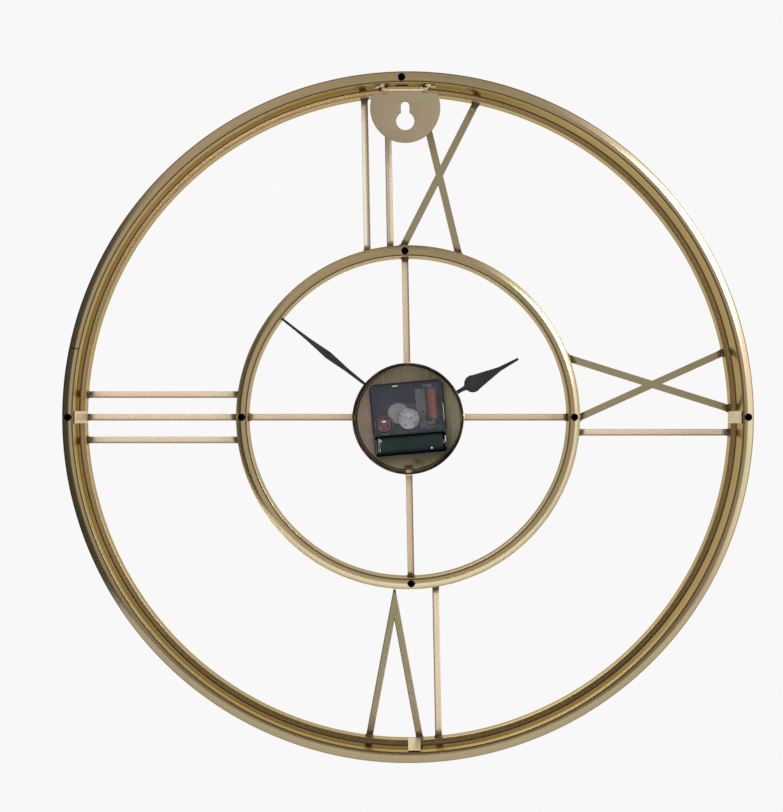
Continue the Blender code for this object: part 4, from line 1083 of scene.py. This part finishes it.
def build_case_details(black):
    """Small mouldings on and under the clear cover, in the movement's frame. Among them, pale pieces are
    painted
    highlights: a strip on the cover, a tab by the contact, two strokes on the cell and a raised piece on the
    knob; a pale strip along the cover's edge is a painted reflection.
    """
    top = MOVEMENT_THICK
    pale = plastic("pale_glint_plastic", (0.42, 0.44, 0.46), (0.62, 0.64, 0.66), (0.25, 0.35))
    grey = plastic("rib_grey", (0.20, 0.205, 0.21), (0.28, 0.28, 0.285), (0.4, 0.55))
    bezel = plastic("bezel_purple", (0.045, 0.040, 0.055), (0.10, 0.07, 0.09), (0.3, 0.4), patch=200.0)
    mint = plastic("cell_glint_mint", (0.40, 0.55, 0.42), (0.60, 0.75, 0.60), (0.3, 0.4))
    lilac = plastic("knob_glint_lilac", (0.50, 0.42, 0.45), (0.72, 0.66, 0.68), (0.25, 0.35))
    pad = plastic("board_pad", (0.45, 0.56, 0.48), (0.66, 0.76, 0.68), (0.3, 0.4))
    arc_centre = (KNOB_AXIS[0], KNOB_AXIS[1])
    inner = circle(arc_centre, 7.35 * MM, 40, radians(-118), radians(190))
    outer = circle(arc_centre, 7.80 * MM, 40, radians(-118), radians(190))
    details = {
        "cover_ring": (prism(inner + outer[::-1], top - 0.10 * MM, top + 0.12 * MM), black, "case_plastic"),
        # Painted highlight: a pale strip on the cover where a glint falls.
        "cover_glint_strip": (box((6.2 * MM, top - 0.1 * MM, 24.7 * MM), (10.4 * MM, top + 0.15 * MM, 25.4 * MM)),
                        pale, "case_plastic"),
        # Painted reflection: a pale strip along the cover's edge.
        "cover_edge_glint": (box((-26.35 * MM, top - 0.1 * MM, -3.5 * MM),
                           (-26.05 * MM, top + 0.1 * MM, 9.5 * MM)), pale, "case_plastic"),
        "cover_well": (rod(1.2 * MM, top - 0.1 * MM, top + 0.06 * MM, (-9.7 * MM, 23.3 * MM)), black,
                       "case_plastic"),
        "cover_dowel": (rod(0.9 * MM, top - 0.1 * MM, top + 0.06 * MM, (-10.8 * MM, 4.3 * MM)), black,
                        "case_plastic"),
        "cover_bezel": (ring_plate(arc_centre, 6.05 * MM, 6.95 * MM, top - 0.1 * MM, top + 0.06 * MM), bezel,
                        "case_plastic"),
        "case_rib": (box((-13.6 * MM, 1.3 * MM, 1.6 * MM), (-6.4 * MM, 6.4 * MM, 21.8 * MM)), grey,
                     "case_plastic"),
        "case_shelf": (box((-6.0 * MM, 1.3 * MM, -9.9 * MM), (9.0 * MM, 6.6 * MM, -9.3 * MM)), grey,
                       "case_plastic"),
        "board_pad": (box((-18.2 * MM, 6.9 * MM, -9.0 * MM), (-12.9 * MM, 7.2 * MM, -5.9 * MM)), pad,
                      "board"),
        # Painted highlight: a pale tab where the contact's edge catches the light.
        "contact_edge_glint": (box((-26.2 * MM, 14.7 * MM, -19.2 * MM), (-25.5 * MM, 15.4 * MM, -14.8 * MM)), pale,
                        "contact_metal"),
    }
    for name, (builder, finish, slot) in details.items():
        add_piece(name, builder, finish, place=MOVEMENT)
    # Painted highlights: two pale mint strokes on the cell where glints fall.
    for i, x in enumerate((22.6, 21.2)):
        stroke = box((-0.28 * MM, CELL_R - 0.3 * MM, 0.9 * MM), (0.28 * MM, CELL_R + 0.06 * MM, 4.4 * MM))
        stroke.transform(MOVEMENT @ Matrix.Translation((x * MM, CELL_DEPTH, CELL_Z - i * 0.9 * MM))
                         @ Matrix.Rotation(radians(14), 4, "X") @ Matrix.Rotation(radians(14), 4, "Y"))
        add_piece(f"cell_glint_{i}", stroke, mint, "battery")
    # Painted highlight: a pale raised piece on the knob where the light catches it.
    glint_place = MOVEMENT @ Matrix.Translation((KNOB_AXIS[0], 0, KNOB_AXIS[1]))
    glint_box = box((-1.6 * MM, 14.3 * MM, 2.2 * MM), (1.2 * MM, 15.3 * MM, 3.3 * MM))
    add_piece("setting_knob_glint", glint_box, lilac, "setting_work", place=glint_place)


def build_movement():
    black = plastic("case_black", (0.020, 0.026, 0.030), (0.036, 0.042, 0.048), (0.34, 0.50))
    dress("movement_case", black, 0.25 * MM)
    dress("middle_plate", plastic("plate_grey", (0.05, 0.055, 0.07), (0.08, 0.085, 0.10), (0.4, 0.55)),
          0.15 * MM)
    cover = smoked_cover()
    dress("movement_cover", cover, 0.25 * MM)
    steel = metal("bright_steel", (0.42, 0.42, 0.40), (0.66, 0.66, 0.64), (0.20, 0.34))
    dress("stator", steel, 0.1 * MM)
    dress("rotor", steel)
    dress("quartz_can", steel, 0.1 * MM)
    for node in ("contact_positive", "contact_negative"):
        dress(node, metal(f"{node}_nickel", (0.60, 0.60, 0.58), (0.85, 0.85, 0.82), (0.12, 0.22)), 0.05 * MM)
    dress("circuit_board", plastic("board_green", (0.02, 0.07, 0.04), (0.04, 0.12, 0.07), (0.3, 0.4)),
          0.1 * MM)
    dress("setting_knob", plastic("knob_purple", (0.055, 0.038, 0.050), (0.150, 0.075, 0.095), (0.25, 0.38),
                                  patch=260.0), 0.2 * MM)
    brass = metal("brass_turned", (0.50, 0.34, 0.14), (0.70, 0.52, 0.25), (0.20, 0.32))
    dress("fixing_nut", brass, 0.25 * MM)
    dress("washer", brass, 0.08 * MM)
    build_wheels()
    build_coil()
    build_cell()
    build_case_details(black)


def build_hands():
    matt = enamel("hand_charcoal", (0.016, 0.015, 0.018), (0.028, 0.026, 0.030))
    for node in ("minute_hand", "hour_hand", "hand_nut"):
        dress(node, matt, 0.15 * MM)


# ---------------------------------------------------------------- floor, light, camera
def build_stage():
    builder = lathe([(0, 0), (1.25, 0), (1.25, -0.01), (0, -0.01)], 96)
    builder.transform(Matrix.Translation((0, 0, -0.95)) @ Matrix.Rotation(pi / 2, 4, "X"))
    mesh = bpy.data.meshes.new("floor")
    bmesh.ops.recalc_face_normals(builder, faces=builder.faces)
    builder.to_mesh(mesh)
    builder.free()
    floor = bpy.data.objects.new("floor", mesh)
    bpy.context.scene.collection.objects.link(floor)
    shader = Shader("floor_paint", Roughness=0.8)
    shader.link(shader.ramp(shader.noise(shader.position, 2.0),
                            [(0.3, (0.80, 0.80, 0.79)), (0.7, (0.84, 0.84, 0.83))]),
                shader.bsdf.inputs["Base Color"])
    mesh.materials.append(shader.material)


def build_light():
    """A white sweep behind the clock, a bright wall to the camera's right and a dim one to its left."""
    world = bpy.data.worlds.new("studio")
    bpy.context.scene.world = world
    world.use_nodes = True
    tree = world.node_tree
    background = tree.nodes["Background"]
    coords = tree.nodes.new("ShaderNodeTexCoord")
    split = tree.nodes.new("ShaderNodeSeparateXYZ")
    tree.links.new(coords.outputs["Generated"], split.inputs[0])
    tilt = tree.nodes.new("ShaderNodeMath")
    tilt.operation = "MULTIPLY_ADD"
    tree.links.new(split.outputs[2], tilt.inputs[0])
    tilt.inputs[1].default_value = -0.17
    tree.links.new(split.outputs[0], tilt.inputs[2])
    across = tree.nodes.new("ShaderNodeMapRange")
    across.inputs["From Min"].default_value = 1.0
    across.inputs["From Max"].default_value = -1.0
    tree.links.new(tilt.outputs[0], across.inputs["Value"])
    sides = tree.nodes.new("ShaderNodeValToRGB")
    stops = (
        (0.0, (0.05, 0.055, 0.045)), (0.165, (0.07, 0.075, 0.06)), (0.225, (0.42, 0.37, 0.29)),
        (0.385, (0.44, 0.39, 0.31)), (0.50, (0.37, 0.33, 0.26)), (0.62, (0.33, 0.295, 0.23)),
        (0.77, (0.34, 0.30, 0.235)), (0.83, (0.66, 0.61, 0.50)), (0.88, (0.98, 0.94, 0.84)),
    )
    for _ in range(len(stops) - 2):
        sides.color_ramp.elements.new(0.5)
    for element, (place, color) in zip(sides.color_ramp.elements, stops):
        element.position = place
        element.color = (*color, 1.0)
    tree.links.new(across.outputs["Result"], sides.inputs["Fac"])
    behind = tree.nodes.new("ShaderNodeMapRange")
    behind.inputs["From Min"].default_value = -0.25
    behind.inputs["From Max"].default_value = -0.55
    tree.links.new(split.outputs[1], behind.inputs["Value"])
    sweep = tree.nodes.new("ShaderNodeMix")
    sweep.data_type = "RGBA"
    tree.links.new(behind.outputs["Result"], sweep.inputs[0])
    tree.links.new(sides.outputs["Color"], sweep.inputs[6])
    sweep.inputs[7].default_value = (0.94, 0.94, 0.94, 1.0)
    seen = tree.nodes.new("ShaderNodeMix")
    seen.data_type = "RGBA"
    rays = tree.nodes.new("ShaderNodeLightPath")
    tree.links.new(rays.outputs["Is Camera Ray"], seen.inputs[0])
    tree.links.new(sweep.outputs[2], seen.inputs[6])
    seen.inputs[7].default_value = (0.939, 0.939, 0.939, 1.0)
    tree.links.new(seen.outputs[2], background.inputs["Color"])

    def softbox(name, place, target, size, power):
        light = bpy.data.lights.new(name, "AREA")
        light.shape = "DISK"
        light.size = size
        light.energy = power
        lamp = bpy.data.objects.new(name, light)
        bpy.context.scene.collection.objects.link(lamp)
        lamp.location = place
        lamp.rotation_euler = (Vector(target) - Vector(place)).to_track_quat("-Z", "Y").to_euler()
        lamp.visible_camera = False
        return lamp

    softbox("key", (-1.5, 1.1, 0.7), (0, 0, CENTRE_Z), 1.0, 14.0)
    softbox("front_fill", (0.6, -1.6, 0.9), (0, 0, CENTRE_Z), 1.2, 10.0)
    fill = softbox("back_fill", (0.3, 1.7, 0.5), (0, 0, CENTRE_Z), 1.2, 22.0)
    fill.visible_glossy = False


CAMERA_DISTANCE = 1.050
LENS = 64.56
ROLL = radians(-0.52)


def build_camera():
    data = bpy.data.cameras.new("camera")
    data.lens = LENS
    data.sensor_width = 36.0
    data.shift_x = -0.0203
    data.shift_y = 0.0138
    data.clip_start = 0.05
    camera = bpy.data.objects.new("camera", data)
    bpy.context.scene.collection.objects.link(camera)
    facing = Matrix.Rotation(pi, 4, "Z") @ Matrix.Rotation(pi / 2, 4, "X") @ Matrix.Rotation(ROLL, 4, "Z")
    camera.matrix_world = Matrix.Translation((0, CAMERA_DISTANCE, CENTRE_Z)) @ facing
    bpy.context.scene.camera = camera


bpy.context.scene.view_settings.view_transform = "Standard"
build_camera()
build_stage()
build_light()
build_rings()
build_bars()
build_cup()
build_hanger()
build_movement()
build_hands()
